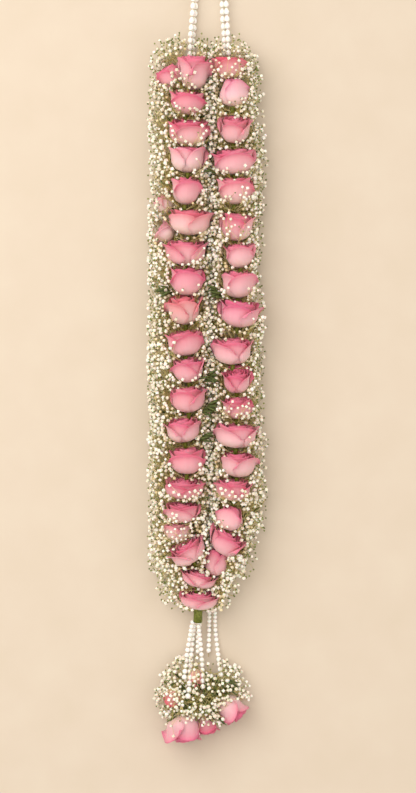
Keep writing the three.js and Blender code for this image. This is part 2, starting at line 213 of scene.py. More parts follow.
# Each pearl strand: its length, its first and last pearls' width, the share of its length after
# which the pearls point back, what is on its far end, and its route, in millimetres.
STRANDS = {
    "neck_pearl_strand_outer": (0.4635, NECK_WIDTH, NECK_WIDTH, 0.5, "object", [
        (-22.4, 403, 23), (-22.4, 413, 21.6), (-22.2, 422, 18.9), (-21.8, 431, 15.3), (-20.9, 440, 12.2),
        (-20.4, 449, 10.4), (-19.6, 458, 10), (-18.8, 467, 9.9), (-18.6, 480, 9.5), (-19, 494, 8.6),
        (-19.8, 508, 6.8), (-20.5, 522, 4.4), (-20.7, 538, 3.4), (-20.6, 564, 3.4), (-20.6, 588, 3.4),
        (-19.4, 604, 3.4), (-14.2, 615.4, 3.4), (-5, 621.6, 3.4), (5.8, 621.6, 3.4), (15, 615.4, 3.4),
        (20.3, 604, 3.4), (21.5, 588, 3.4), (21.6, 564, 3.4), (21.6, 538, 3.4), (21.5, 522, 4.8),
        (21.2, 508, 6.8), (21.2, 494, 8), (21.3, 480, 8.5), (21.5, 468, 8.8), (22.1, 458, 9.2),
        (22.7, 448, 10), (23.2, 438, 11.8), (23.4, 428, 15), (23.6, 418, 18.6), (24, 405, 22),
    ]),
    "neck_pearl_strand_inner": (0.439, NECK_WIDTH, NECK_WIDTH, 0.5, "object", [
        (-18.6, 403, 15.6), (-18.8, 413, 14), (-18.8, 422, 11.2), (-18.6, 431, 7.6), (-17.6, 440, 4.8),
        (-17.2, 449, 3.5), (-16.4, 458, 3.4), (-15.6, 467, 3.4), (-14.8, 480, 3.4), (-14, 494, 3.4),
        (-13.6, 508, 3.4), (-13.4, 522, 3.4), (-13.4, 545, 3.4), (-13.4, 570, 3.4), (-13.4, 590, 3.4),
        (-12.4, 602, 3.4), (-8.2, 610.6, 3.4), (-2.4, 614.2, 3.4), (3.4, 614.2, 3.4), (9.2, 610.6, 3.4),
        (13.4, 602, 3.4), (14.4, 590, 3.4), (14.4, 570, 3.4), (14.4, 545, 3.4), (14.4, 522, 3.4),
        (14.8, 508, 3.4), (15.4, 494, 3.4), (16, 480, 3.4), (16.6, 468, 3.4), (17, 458, 3.4),
        (17.5, 448, 3.8), (18.4, 438, 5), (18.9, 428, 8.4), (19.3, 418, 12.2), (19.6, 405, 15.4),
    ]),
    "tassel_strand_left_outer": (0.08, 0.0054, 0.0068, 0.0, "object", [
        (-18.6, -274, 20.6), (-19.4, -277.5, 19.5), (-20.2, -281, 18), (-20.9, -284.5, 16),
        (-21.4, -288, 13.8), (-22, -292, 11.6), (-22.6, -296, 9.8), (-23.3, -300, 8.5), (-24, -304, 7.8),
        (-24.7, -308, 7.8), (-25.4, -312, 8.6), (-26, -316, 10.2), (-26.6, -320, 12.4),
        (-27.1, -324.5, 14.9), (-27.6, -329, 17.6), (-28.1, -333.5, 20.2), (-28.6, -338, 22.6),
        (-29.4, -346, 26),
    ]),
    "tassel_strand_left_inner": (0.1055, 0.0054, 0.0080, 0.0, "object", [
        (-15.6, -274, 15.2), (-16.4, -277.5, 13.9), (-17, -281, 12.4), (-17.6, -284.5, 10.5),
        (-18.2, -288, 8.2), (-18.6, -292, 6.1), (-19, -296, 4.6), (-19.4, -300, 3.6), (-19.8, -304, 3.2),
        (-20.2, -308, 3.4), (-20.6, -312, 4.4), (-20.9, -316, 6.2), (-21.2, -320, 8.6),
        (-21.6, -324.5, 11.2), (-21.9, -329, 14), (-22.1, -333.5, 16.7), (-22.3, -338, 19.4),
        (-22.7, -347, 24.4), (-23.5, -358, 29.6), (-25.6, -369, 33),
    ]),
    "tassel_strand_middle": (0.0906, 0.0052, 0.0066, 0.0, "object", [
        (-12.6, -274, 20.8), (-12.3, -277.5, 19.8), (-12, -281, 18.4), (-11.6, -284.5, 16.6),
        (-11.2, -288, 14.6), (-10.7, -292, 12.5), (-10.2, -296, 10.8), (-9.9, -300, 9.5),
        (-9.6, -304, 8.8), (-9.2, -308, 8.4), (-8.8, -312, 8.4), (-8.5, -316, 9.4), (-8.2, -320, 11),
        (-7.9, -324.5, 13.2), (-7.7, -329, 15.6), (-7.4, -338, 20.6), (-7, -347, 25.2),
        (-6.6, -357, 29.4),
    ]),
    "tassel_strand_short": (0.0461, 0.0052, 0.0062, 0.0, "bare", [
        (-9.6, -274, 15), (-10, -276.5, 13.9), (-10.5, -279, 12.5), (-10.8, -281, 11.4),
        (-11.3, -284, 9.5), (-11.7, -286.5, 7.9), (-12, -288.5, 6.6), (-12.3, -291, 5.4),
        (-12.6, -294, 4.3), (-12.8, -297, 3.6), (-12.9, -300.5, 3.3), (-13, -304, 3.2), (-13, -308, 3.2),
        (-12.9, -312, 3.2), (-12.8, -317, 3.2),
    ]),
    "tassel_strand_loose": (0.0581, 0.0048, 0.0064, 0.0, "bare", [
        (1.2, -259, 11), (1.2, -263, 10.4), (1.2, -267, 9.4), (1.1, -271, 8), (1, -275, 6.4),
        (0.9, -279, 5), (0.8, -283, 4), (0.8, -287.5, 3.4), (0.7, -292, 3.2), (0.6, -296.5, 3.2),
        (0.5, -301, 3.2), (0.4, -305, 3.2), (0.2, -309, 3.2), (0.1, -312.5, 3.2), (0, -316, 3.2),
    ]),
    "tassel_strand_right": (0.0899, 0.0048, 0.0066, 0.0, "object", [
        (8, -259, 11), (8, -263, 10.4), (8, -267, 9.4), (8, -271.5, 7.9), (8, -276, 6.2),
        (8.1, -280.5, 4.8), (8.2, -285, 3.8), (8.5, -289.5, 3.3), (8.9, -294, 3.2), (9.4, -298.5, 3.2),
        (9.9, -303, 3.4), (10.4, -307.5, 4.2), (10.9, -312, 5.4), (11.5, -316.5, 7.4), (12.2, -321, 10),
        (13.6, -331, 15.6), (15.4, -343, 22),
    ]),
}
PEARL_SIDES = 10
ROUND_OUTLINE = [(0, -0.5), (0.26, -0.43), (0.43, -0.26), (0.5, 0), (0.43, 0.26), (0.26, 0.43), (0, 0.5)]
# Half-outline of a pearl one wide: (radius, height), its narrow end up.
PEARL_OUTLINE = [(0, -0.58), (0.24, -0.54), (0.42, -0.38), (0.5, -0.1), (0.44, 0.22), (0.28, 0.48),
                 (0.13, 0.64), (0, 0.68)]
PEARL_PITCH = 1.33  # drop pearls' spacing, in their widths
ROUND_PITCH = 1.06
THREAD_WIDTH = 0.0009
THREAD_SIDES = 5
BARE_THREAD = 0.0045  # past the last pearl, where a strand's end is loose


def pearl_tree():
    """A thread with beads on it, each turned along it: past a share of its length they point back."""
    sizes = ("First Width", "Last Width", "Turn At", "Beaded", "Thread Width")
    tree, given, result = new_tree("pearl_strand", {
        "Count": "Int", **dict.fromkeys(sizes, "Float"), "Pearl": "Object", "Pearl Finish": "Material",
        "Thread Finish": "Material",
    })
    line = add(tree, "GeometryNodeMeshToCurve", inputs={"Mesh": given["Geometry"]})
    number = add(tree, "GeometryNodeInputIndex")
    values = {"number": number, **{name: given[name] for name in ("Count", *sizes)}}
    for name, operation, *operands in [
        ("place", "ADD", "number", 0.5),
        ("place", "DIVIDE", "place", "Count"),
        ("more", "SUBTRACT", "Last Width", "First Width"),
        ("width", "MULTIPLY_ADD", "more", "place", "First Width"),
        # wider pearls take more of the thread
        ("sum", "ADD", "Last Width", "First Width"),
        ("growth", "DIVIDE", "more", "sum"),
        ("square", "MULTIPLY", "place", "place"),
        ("less", "SUBTRACT", "place", "square"),
        ("less", "MULTIPLY", "less", "growth"),
        ("factor", "SUBTRACT", "place", "less"),
        ("factor", "MULTIPLY", "factor", "Beaded"),
        ("turned", "GREATER_THAN", "factor", "Turn At"),
        ("sign", "MULTIPLY_ADD", "turned", -2.0, 1.0),
    ]:
        operands = [values.get(one, one) for one in operands]
        values[name] = add(tree, "ShaderNodeMath", {"operation": operation}, dict(enumerate(operands)))
    on_line = add(tree, "GeometryNodeSampleCurve", {"mode": "FACTOR"},
                  {"Curves": line, "Factor": values["factor"]})
    spots = add(tree, "GeometryNodePoints", inputs={
        "Count": given["Count"], "Position": on_line.outputs["Position"]})
    facing = add(tree, "ShaderNodeVectorMath", {"operation": "SCALE"},
                 {0: on_line.outputs["Tangent"], "Scale": values["sign"]})
    turn = add(tree, "FunctionNodeAlignRotationToVector", {"axis": "Z"}, {"Vector": facing})
    pearl = add(tree, "GeometryNodeObjectInfo", inputs={"Object": given["Pearl"]}).outputs["Geometry"]
    row = add(tree, "GeometryNodeInstanceOnPoints", inputs={
        "Points": spots, "Instance": pearl, "Rotation": turn, "Scale": values["width"]})
    half = add(tree, "ShaderNodeMath", {"operation": "MULTIPLY"}, {0: given["Thread Width"], 1: 0.5})
    section = add(tree, "GeometryNodeCurvePrimitiveCircle", inputs={
        "Resolution": THREAD_SIDES, "Radius": half})
    thread = add(tree, "GeometryNodeCurveToMesh", inputs={
        "Curve": line, "Profile Curve": section, "Fill Caps": True})
    close_tree(tree, result, [(row, "INSTANCE", given["Pearl Finish"]),
                              (thread, "POINT", given["Thread Finish"])])
    return tree


ROPE_DIAMETER = 0.006
ROPE_TURN = 0.022  # along the rope, for one full turn of its strands
ROPE_STEP = 0.0025
ROPE_SIDES = 12
ROPE_GROOVE = 0.2  # how far a groove goes in, in diameters


def rope_tree():
    """A laid rope: a section of three strands swept along a line, turning as it goes."""
    tree, given, result = new_tree("laid_rope", {"Diameter": "Float", "Finish": "Material"})
    line = add(tree, "GeometryNodeMeshToCurve", inputs={"Mesh": given["Geometry"]})
    line = add(tree, "GeometryNodeResampleCurve", {"mode": "LENGTH"}, {"Curve": line, "Length": ROPE_STEP})
    along = add(tree, "GeometryNodeSplineParameter").outputs["Length"]
    turn = add(tree, "ShaderNodeMath", {"operation": "MULTIPLY"}, {0: along, 1: 2 * math.pi / ROPE_TURN})
    line = add(tree, "GeometryNodeSetCurveTilt", inputs={"Curve": line, "Tilt": turn})
    section = add(tree, "GeometryNodeCurvePrimitiveCircle", inputs={"Resolution": ROPE_SIDES, "Radius": 1.0})
    # every fourth point of the section goes in, which parts its three strands
    number = add(tree, "GeometryNodeInputIndex")
    number = add(tree, "ShaderNodeMath", {"operation": "MODULO"}, {0: number, 1: ROPE_SIDES / 3})
    groove = add(tree, "ShaderNodeMath", {"operation": "LESS_THAN"}, {0: number, 1: 0.5})
    size = add(tree, "ShaderNodeMath", {"operation": "MULTIPLY_ADD"}, {0: groove, 1: -ROPE_GROOVE, 2: 0.5})
    size = add(tree, "ShaderNodeMath", {"operation": "MULTIPLY"}, {0: size, 1: given["Diameter"]})
    place = add(tree, "ShaderNodeVectorMath", {"operation": "SCALE"}, {
        0: add(tree, "GeometryNodeInputPosition"), "Scale": size})
    section = add(tree, "GeometryNodeSetPosition", inputs={"Geometry": section, "Position": place})
    rope = add(tree, "GeometryNodeCurveToMesh", inputs={
        "Curve": line, "Profile Curve": section, "Fill Caps": True})
    close_tree(tree, result, [(rope, "POINT", given["Finish"])])
    return tree


# ---------------------------------------------------------------- roses

GOLDEN_ANGLE = math.radians(137.508)
PETAL_THICKNESS = 0.0004
PETAL_COLUMNS, PETAL_ROWS = 10, 9


def rose_tree():
    """A rose head: its axis is +Y from the calyx at the origin, and its front faces +Z."""
    sizes = ("Width", "Length", "Turn", "Openness", "Curl", "Point", "Ruffle", "Tone", "Hue")
    tree, given, result = new_tree("rose_head", {
        **dict.fromkeys(sizes, "Float"), "Petals": "Int", "Seed": "Int",
        "Petal Finish": "Material", "Calyx": "Object", "Calyx Finish": "Material",
    })
    number = add(tree, "GeometryNodeInputIndex")
    dots = add(tree, "GeometryNodePoints", inputs={"Count": given["Petals"]})
    dots = add(tree, "GeometryNodeStoreNamedAttribute", {"data_type": "INT", "domain": "POINT"},
               {"Geometry": dots, "Name": "petal", "Value": number})
    flat = add(tree, "GeometryNodeMeshGrid", inputs={
        "Size X": 2.0, "Size Y": 1.0, "Vertices X": PETAL_COLUMNS, "Vertices Y": PETAL_ROWS})
    spread = add(tree, "GeometryNodeInstanceOnPoints", inputs={
        "Points": dots, "Instance": flat})
    sheets = add(tree, "GeometryNodeRealizeInstances", inputs={"Geometry": spread})

    flat_place = add(tree, "ShaderNodeSeparateXYZ", inputs={
        0: add(tree, "GeometryNodeInputPosition")})
    petal = add(tree, "GeometryNodeInputNamedAttribute", {"data_type": "INT"}, {"Name": "petal"})
    petal = petal.outputs["Attribute"]
    values = {"u": flat_place.outputs[0], "y": flat_place.outputs[1], "petal": petal,
              "Petals": given["Petals"], **{name: given[name] for name in sizes}}
    for k in range(5):
        salt = add(tree, "ShaderNodeMath", {"operation": "ADD"}, {0: given["Seed"], 1: 17.0 * k})
        values[f"random {k}"] = add(tree, "FunctionNodeRandomValue", {"data_type": "FLOAT"}, {
            "Min": -1.0, "Max": 1.0, "ID": petal, "Seed": salt}).outputs["Value"]
    for name, operation, *operands in [
        # u runs across a petal from -1 to 1, v up it from 0 to 1
        ("v", "ADD", "y", 0.5),
        ("across", "ABSOLUTE", "u"),
        ("last", "SUBTRACT", "Petals", 1.0),
        ("order", "SUBTRACT", "last", "petal"),
        # age is 0 at the heart and 1 at the outermost petal
        ("age", "DIVIDE", "petal", "last"),
        ("youth", "SUBTRACT", 1.0, "age"),
        # its outline: a rounded and frilled top with a small point
        ("drop", "POWER", "across", 2.8),
        ("top", "MULTIPLY_ADD", "drop", -0.3, 1.0),
        ("peak", "SUBTRACT", 1.0, "across"),
        ("peak", "POWER", "peak", 3.0),
        ("peak", "MULTIPLY", "peak", "Point"),
        ("peak", "MULTIPLY", "peak", "age"),
        ("top", "MULTIPLY_ADD", "peak", 0.1, "top"),
        ("frill", "MULTIPLY_ADD", "random 1", 3.0, "u"),
        ("frill", "MULTIPLY", "frill", 5.0),
        ("frill", "SINE", "frill"),
        ("frill", "MULTIPLY", "frill", "Ruffle"),
        ("top", "MULTIPLY_ADD", "frill", 0.03, "top"),
        ("h", "MULTIPLY", "v", "top"),
        # how far up the head it reaches
        ("reach", "MULTIPLY_ADD", "youth", 0.03, 0.92),
        ("heart", "POWER", "youth", 6.0),
        ("reach", "MULTIPLY_ADD", "heart", -0.1, "reach"),
        ("reach", "MULTIPLY_ADD", "random 0", 0.05, "reach"),
        # the radius of its layer
        ("layer", "POWER", "age", 1.15),
        ("layer", "MULTIPLY_ADD", "layer", 0.8, 0.14),
        ("layer", "MULTIPLY", "layer", "Width"),
        ("slim", "MULTIPLY_ADD", "Curl", -0.06, 0.49),
        ("layer", "MULTIPLY", "layer", "slim"),
        # a cup that is full at half its height
        ("climb", "DIVIDE", "h", 0.5),
        ("climb", "MINIMUM", "climb", 1.0),
        ("climb", "MULTIPLY", "climb", math.pi / 2),
        ("climb", "SINE", "climb"),
        ("climb", "POWER", "climb", 0.5),
        ("profile", "MULTIPLY_ADD", "climb", 0.78, 0.22),
        # young petals close over the heart
        ("close", "POWER", "youth", 1.3),
        ("tight", "MULTIPLY_ADD", "Openness", -0.45, 0.75),
        ("close", "MULTIPLY", "close", "tight"),
        ("high", "POWER", "h", 2.2),
        ("close", "MULTIPLY", "close", "high"),
        ("keep", "SUBTRACT", 1.0, "close"),
        ("radius", "MULTIPLY", "layer", "profile"),
        ("radius", "MULTIPLY", "radius", "keep"),
        # a bud's old petals close too
        ("shut", "SUBTRACT", 0.45, "Openness"),
        ("shut", "MAXIMUM", "shut", 0.0),
        ("shut", "MULTIPLY", "shut", "high"),
        ("shut", "MULTIPLY_ADD", "shut", -1.5, 1.0),
        ("radius", "MULTIPLY", "radius", "shut"),
        # old petals lean out, their middle most
        ("upper", "SUBTRACT", "h", 0.45),
        ("upper", "MAXIMUM", "upper", 0.0),
        ("lean", "POWER", "upper", 1.8),
        ("old", "POWER", "age", 3.0),
        ("lean", "MULTIPLY", "lean", "old"),
        ("lean", "MULTIPLY", "lean", "Openness"),
        ("lean", "MULTIPLY", "lean", "Width"),
        ("middle", "MULTIPLY_ADD", "across", -0.5, 1.0),
        ("lean", "MULTIPLY", "lean", "middle"),
        ("radius", "MULTIPLY_ADD", "lean", 0.12, "radius"),
        # a wavy rim
        ("v4", "POWER", "v", 4.0),
        ("wave", "MULTIPLY", "frill", "v4"),
        ("wave", "MULTIPLY", "wave", "Width"),
        ("radius", "MULTIPLY_ADD", "wave", 0.026, "radius"),
        # edge is 0 on the face and 1 at the rim
        ("u4", "POWER", "across", 4.0),
        ("u4", "MULTIPLY", "u4", "v"),
        ("u4", "MULTIPLY", "u4", "v"),
        ("edge", "ADD", "u4", "v4"),
        ("edge", "POWER", "edge", 0.25),
        ("edge", "SUBTRACT", "edge", 0.7),
        ("edge", "DIVIDE", "edge", 0.35),
        ("edge", "MAXIMUM", "edge", 0.0),
        # the rim rolls back through this angle, in a band this wide
        ("roll", "MULTIPLY_ADD", "across", 0.3, 0.5),
        ("older", "POWER", "age", 1.6),
        ("roll", "MULTIPLY", "roll", "older"),
        ("roll", "MULTIPLY", "roll", "Curl"),
        ("odd", "MULTIPLY_ADD", "random 2", 0.4, 1.0),
        ("roll", "MULTIPLY", "roll", "odd"),
        ("roll", "MULTIPLY_ADD", "roll", 3.0, 0.02),
        ("band", "MULTIPLY_ADD", "age", 0.14, 0.1),
        ("band", "MULTIPLY", "band", "Length"),
        ("angle", "MULTIPLY", "roll", "edge"),
        ("out", "COSINE", "angle"),
        ("out", "SUBTRACT", 1.0, "out"),
        ("out", "DIVIDE", "out", "roll"),
        ("out", "MULTIPLY", "out", "band"),
        ("in", "SINE", "angle"),
        ("in", "DIVIDE", "in", "roll"),
        ("in", "SUBTRACT", "edge", "in"),
        ("in", "MULTIPLY", "in", "band"),
        # a corner that lies under a neighbour doesn't roll
        ("covered", "MULTIPLY", "order", 0.5),
        ("covered", "MINIMUM", "covered", 1.0),
        ("corner", "POWER", "across", 2.5),
        ("corner", "MULTIPLY", "corner", "covered"),
        ("corner", "SUBTRACT", 1.0, "corner"),
        ("out", "MULTIPLY", "out", "corner"),
        # the roll takes the rim sideways and down
        ("u3", "POWER", "across", 3.0),
        ("v3", "POWER", "v", 3.0),
        ("both", "ADD", "u3", "v3"),
        ("both", "ADD", "both", 0.001),
        ("sign", "SIGN", "u"),
        ("sideways", "DIVIDE", "u3", "both"),
        ("sideways", "MULTIPLY", "sideways", "sign"),
        ("sideways", "MULTIPLY", "sideways", "in"),
        ("sideways", "DIVIDE", "sideways", "radius"),
        ("down", "DIVIDE", "v3", "both"),
        ("down", "MULTIPLY", "down", "in"),
        ("radius", "ADD", "radius", "out"),
        # how far it wraps round the head, and where
        ("wrap", "POWER", "youth", 1.5),
        ("wrap", "MULTIPLY_ADD", "wrap", math.radians(90), math.radians(64)),
        ("broad", "DIVIDE", "v", 0.5),
        ("broad", "MINIMUM", "broad", 1.0),
        ("broad", "MULTIPLY", "broad", math.pi / 2),
        ("broad", "SINE", "broad"),
        ("broad", "MULTIPLY_ADD", "broad", 0.55, 0.45),
        ("wrap", "MULTIPLY", "wrap", "broad"),
        ("turned", "MULTIPLY", "u", "wrap"),
        ("turned", "SUBTRACT", "turned", "sideways"),
        ("turned", "MULTIPLY_ADD", "order", GOLDEN_ANGLE, "turned"),
        ("turned", "ADD", "turned", "Turn"),
        ("turned", "MULTIPLY_ADD", "random 3", 0.12, "turned"),
        ("height", "MULTIPLY", "h", "reach"),
        ("height", "MULTIPLY", "height", "Length"),
        ("height", "SUBTRACT", "height", "down"),
        ("right", "SINE", "turned"),
        ("right", "MULTIPLY", "right", "radius"),
        ("front", "COSINE", "turned"),
        ("front", "MULTIPLY", "front", "radius"),
        ("rim", "MINIMUM", "edge", 1.0),
    ]:
        operands = [values.get(one, one) for one in operands]
        values[name] = add(tree, "ShaderNodeMath", {"operation": operation}, dict(enumerate(operands)))
    # what the material reads is stored while the petals are still flat
    look = sheets
    for name, value in {"rim": "rim", "rise": "v", "across": "u", "age": "age", "tone": "Tone",
                        "hue": "Hue", "odd": "random 4"}.items():
        look = add(tree, "GeometryNodeStoreNamedAttribute", {"data_type": "FLOAT", "domain": "POINT"},
                   {"Geometry": look, "Name": name, "Value": values[value]})
    place = add(tree, "ShaderNodeCombineXYZ", inputs={
        0: values["right"], 1: values["height"], 2: values["front"]})
    shaped = add(tree, "GeometryNodeSetPosition", inputs={"Geometry": look, "Position": place})
    backs = add(tree, "GeometryNodeExtrudeMesh", {"mode": "FACES"}, {
        "Mesh": shaped, "Offset Scale": PETAL_THICKNESS, "Individual": False})
    faces = add(tree, "GeometryNodeFlipFaces", inputs={"Mesh": shaped})
    shell = add(tree, "GeometryNodeJoinGeometry", inputs={0: [backs, faces]})
    shell = add(tree, "GeometryNodeMergeByDistance", inputs={
        "Geometry": shell, "Distance": PETAL_THICKNESS / 20})
    shell = add(tree, "GeometryNodeSetShadeSmooth", inputs={"Geometry": shell})
    calyx = add(tree, "GeometryNodeObjectInfo", inputs={"Object": given["Calyx"]})
    close_tree(tree, result, [(shell, "POINT", given["Petal Finish"]),
                              (calyx.outputs["Geometry"], "POINT", given["Calyx Finish"])])
    return tree


def blade(line, widths, thickness, side):
    """Points and faces of a closed thin leaf along a line, as wide as widths to either side."""
    points, faces = [line[0]], []
    for before, here, after, width in zip(line, line[1:], line[2:], widths):
        lift = side.cross(after - before).normalized()
        edge, keel = side * width / 2, lift * thickness / 2
        points += [here + edge, here + keel, here - edge, here - keel]
    points.append(line[-1])
    for k in range(4):
        after = (k + 1) % 4
        faces.append((0, 1 + after, 1 + k))
        for ring in range(len(widths) - 1):
            low, high = 1 + 4 * ring, 5 + 4 * ring
            faces.append((low + k, low + after, high + after, high + k))
        faces.append((len(points) - 1, len(points) - 5 + k, len(points) - 5 + after))
    return points, faces


def joined(parts):
    """Points and faces of several shapes as one list of each."""
    points, faces = [], []
    for own_points, own_faces in parts:
        faces += [tuple(i + len(points) for i in face) for face in own_faces]
        points += own_points
    return points, faces


def calyx(stem, stem_radius, hip_radius, sepal, seed):
    """A rose's cut stem, hip and five sepals, below and round a head whose axis is +Y."""
    draw = random.Random(seed)
    profile = [(0, -stem), (stem_radius, -stem), (stem_radius * 0.94, -stem * 0.5),
               (stem_radius * 1.02, -stem * 0.12), (hip_radius * 0.82, hip_radius * 0.1),
               (hip_radius, hip_radius * 0.5), (hip_radius * 0.8, hip_radius), (0, hip_radius * 1.1)]
    points, faces = lathe(profile, 10)
    parts = [([Vector((x, z, -y)) for x, y, z in points], faces)]
    for k in range(5):
        angle = math.radians(72 * k + draw.uniform(-14, 14))
        out = Vector((math.sin(angle), 0, math.cos(angle)))
        droop = draw.uniform(-0.5, 0.9)
        length = sepal * draw.uniform(0.8, 1.15)
        line = []
        for step in range(6):
            t = step / 5
            away = hip_radius * 0.8 + length * (0.42 * t + 0.34 * max(droop, 0) * t * t)
            high = hip_radius * 0.4 + length * (0.85 * t - 0.95 * max(droop, 0.12) * t * t)
            line.append(out * away + Vector((0, high, 0)))
        widths = [sepal * share for share in (0.22, 0.27, 0.2, 0.1)]
        parts.append(blade(line, widths, 0.0008, out.cross(Vector((0, 1, 0)))))
    return joined(parts)


# Each rose of a column, in its order: its lean towards +X and tilt up from the table, where its
# outermost petal faces (0 is the front and 90 the right), all in degrees, then how open it is, how far
# its rims curl, how pointed and how ruffled its petals are, how deep its pink is, its hue (-1 lilac,
# 1 coral) and its number of petals.
ROSE_ROWS = {
    "rose_left": [
        (2, 8, 35, 1.0, 0.9, 0.4, 1.2, 0.5, 0.0, 24),
        (5, 10, 10, 0.5, 0.7, 0.3, 0.9, 0.6, 0.1, 22),
        (3, 14, 20, 0.7, 0.9, 0.5, 0.8, 0.75, 0.1, 24),
        (0, 8, 143, 0.9, 0.8, 0.5, 0.5, 0.3, 0.0, 22),
        (2, 8, 20, 0.7, 0.8, 0.3, 0.5, 0.4, 0.1, 20),
        (2, 8, 62, 1.0, 0.8, 0.3, 0.8, 0.45, 0.5, 22),
        (0, 10, -62, 0.8, 0.9, 0.2, 0.9, 0.5, 0.1, 22),
        (0, 10, 0, 0.4, 0.7, 0.2, 0.5, 0.75, 0.0, 24),
        (-4, 12, -40, 0.9, 1.0, 0.6, 0.9, 0.5, 0.8, 22),
        (-5, 10, 10, 0.8, 0.8, 0.9, 0.6, 0.5, 0.1, 22),
        (-3, 12, -30, 0.6, 0.8, 0.3, 1.2, 0.4, 0.0, 22),
        (-4, 10, 70, 0.9, 0.8, 0.4, 0.7, 0.4, 0.2, 22),
        (-7, 12, -80, 0.8, 0.8, 1.0, 0.5, 0.5, 0.0, 22),
        (0, 10, 0, 0.5, 0.7, 0.3, 0.5, 0.35, 0.1, 20),
        (0, 14, 50, 0.8, 0.9, 0.4, 0.8, 0.45, 0.0, 22),
        (0, 12, -20, 0.7, 0.8, 0.5, 0.6, 0.45, 0.1, 22),
        (0, 10, 60, 0.6, 0.7, 0.4, 0.5, -0.1, 0.4, 18),
        (-27, 16, -60, 1.0, 0.9, 0.6, 0.8, 0.45, 0.0, 24),
    ],
    "rose_right": [
        (0, 6, 20, 0.8, 0.8, 0.4, 0.8, 0.8, 0.6, 20),
        (0, 8, 37, 0.05, 0.25, 0.3, 0.2, 0.3, -0.5, 14),
        (3, 20, 80, 1.0, 0.9, 0.8, 0.6, 0.4, 0.2, 24),
        (-5, 10, 5, 0.9, 0.9, 0.6, 0.6, 0.4, 0.0, 22),
        (0, 8, 15, 0.9, 0.8, 0.3, 0.5, 0.3, 0.3, 22),
        (4, 10, 70, 0.7, 0.8, 0.3, 0.6, 0.35, 0.1, 22),
        (-4, 10, 0, 0.8, 0.9, 0.3, 0.4, 0.45, 0.0, 20),
        (0, 10, 30, 0.7, 0.8, 0.5, 0.6, 0.4, 0.0, 22),
        (6, 8, 75, 1.0, 0.9, 0.8, 0.7, 0.65, -0.3, 24),
        (0, 10, 180, 1.0, 0.9, 1.0, 0.5, 0.4, 0.0, 22),
        (0, 25, 150, 0.9, 0.7, 0.7, 0.6, 0.7, 0.0, 24),
        (0, 12, 20, 0.7, 0.8, 0.4, 0.8, 0.45, 0.1, 20),
        (2, 8, 180, 1.0, 0.9, 1.1, 0.5, 0.4, 0.0, 24),
        (4, 10, 40, 0.8, 0.8, 0.3, 0.6, 0.4, 0.0, 22),
        (3, 10, -50, 0.8, 0.8, 0.5, 0.7, 0.45, 0.1, 22),
        (15, 8, -20, 0.1, 0.3, 0.2, 0.3, 0.35, 0.0, 14),
        (30, 14, 100, 0.9, 0.9, 0.6, 0.7, 0.45, 0.0, 24),
    ],
    "rose_tip": [
        (12, 6, 64, 0.22, 0.4, 0.4, 0.3, 0.35, 0.0, 14),
        (12, 14, -70, 0.8, 0.9, 0.5, 0.6, 0.45, 0.0, 22),
        (2, 14, 60, 0.8, 0.9, 0.4, 0.7, 0.35, 0.0, 24),
    ],
    "rose_side": [
        (-30, 5, -40, 0.8, 0.8, 0.8, 0.6, 0.5, 0.0, 18),
        (-40, 5, 40, 0.9, 0.7, 0.6, 0.9, -0.2, 0.2, 16),
        (-60, 5, -30, 1.0, 0.8, 1.2, 0.8, -0.25, -0.2, 16),
    ],
    "rose_tassel": [
        (175, 4, 60, 1.0, 0.8, 0.3, 0.9, 0.45, -0.3, 24),
        (142, 4, 20, 0.9, 0.8, 0.4, 0.8, 0.4, -0.2, 24),
        (165, 4, 10, 0.8, 0.8, 0.4, 0.7, 0.6, 0.0, 18),
        (180, 4, 0, 0.2, 0.5, 0.4, 0.4, 1.0, 0.8, 12),
        (215, 4, 0, 0.2, 0.5, 0.4, 0.4, 0.8, 0.8, 12),
    ],
}
ROSES = {
    f"{column}_{number:02d}": row
    for column, rows in ROSE_ROWS.items()
    for number, row in enumerate(rows, 1)
}
# A cut stem's length and radius, and how far the outer petals' feet come down over it.
USUAL_STEM = (0.007, 0.0026, -0.0005)
STEMS = {
    "rose_tip_02": (0.009, 0.0026, -0.002),
    "rose_tip_03": (0.011, 0.005, -0.005),
    "rose_tassel_04": (0.004, 0.0026, 0.002),
    "rose_tassel_05": (0.004, 0.0026, 0.002),
}
FOOT_SLICE = 0.0003  # points this near a rose's lowest are the foot of its stem


def head_of(node):
    """Where a rose's head is: its turn, the foot of its axis, its length and its width."""
    lean, tilt = ROSES[node][:2]
    stem, _, tuck = STEMS.get(node, USUAL_STEM)
    turn = Matrix.Rotation(math.radians(-lean), 3, "Z") @ Matrix.Rotation(math.radians(tilt), 3, "X")
    own = [turn.transposed() @ v.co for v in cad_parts[node].data.vertices]
    low, high = min(p.y for p in own), max(p.y for p in own)
    foot = [p for p in own if p.y < low + FOOT_SLICE]
    x, z = (sum(p[i] for p in foot) / len(foot) for i in (0, 2))
    width = 2 * max(math.hypot(p.x - x, p.z - z) for p in own)
    return turn, turn @ Vector((x, low + stem - tuck, z)), high - low - stem + tuck, width


# ---------------------------------------------------------------- baby's breath

STEM, FLORET, LEAF, BUD, INNER = range(5)


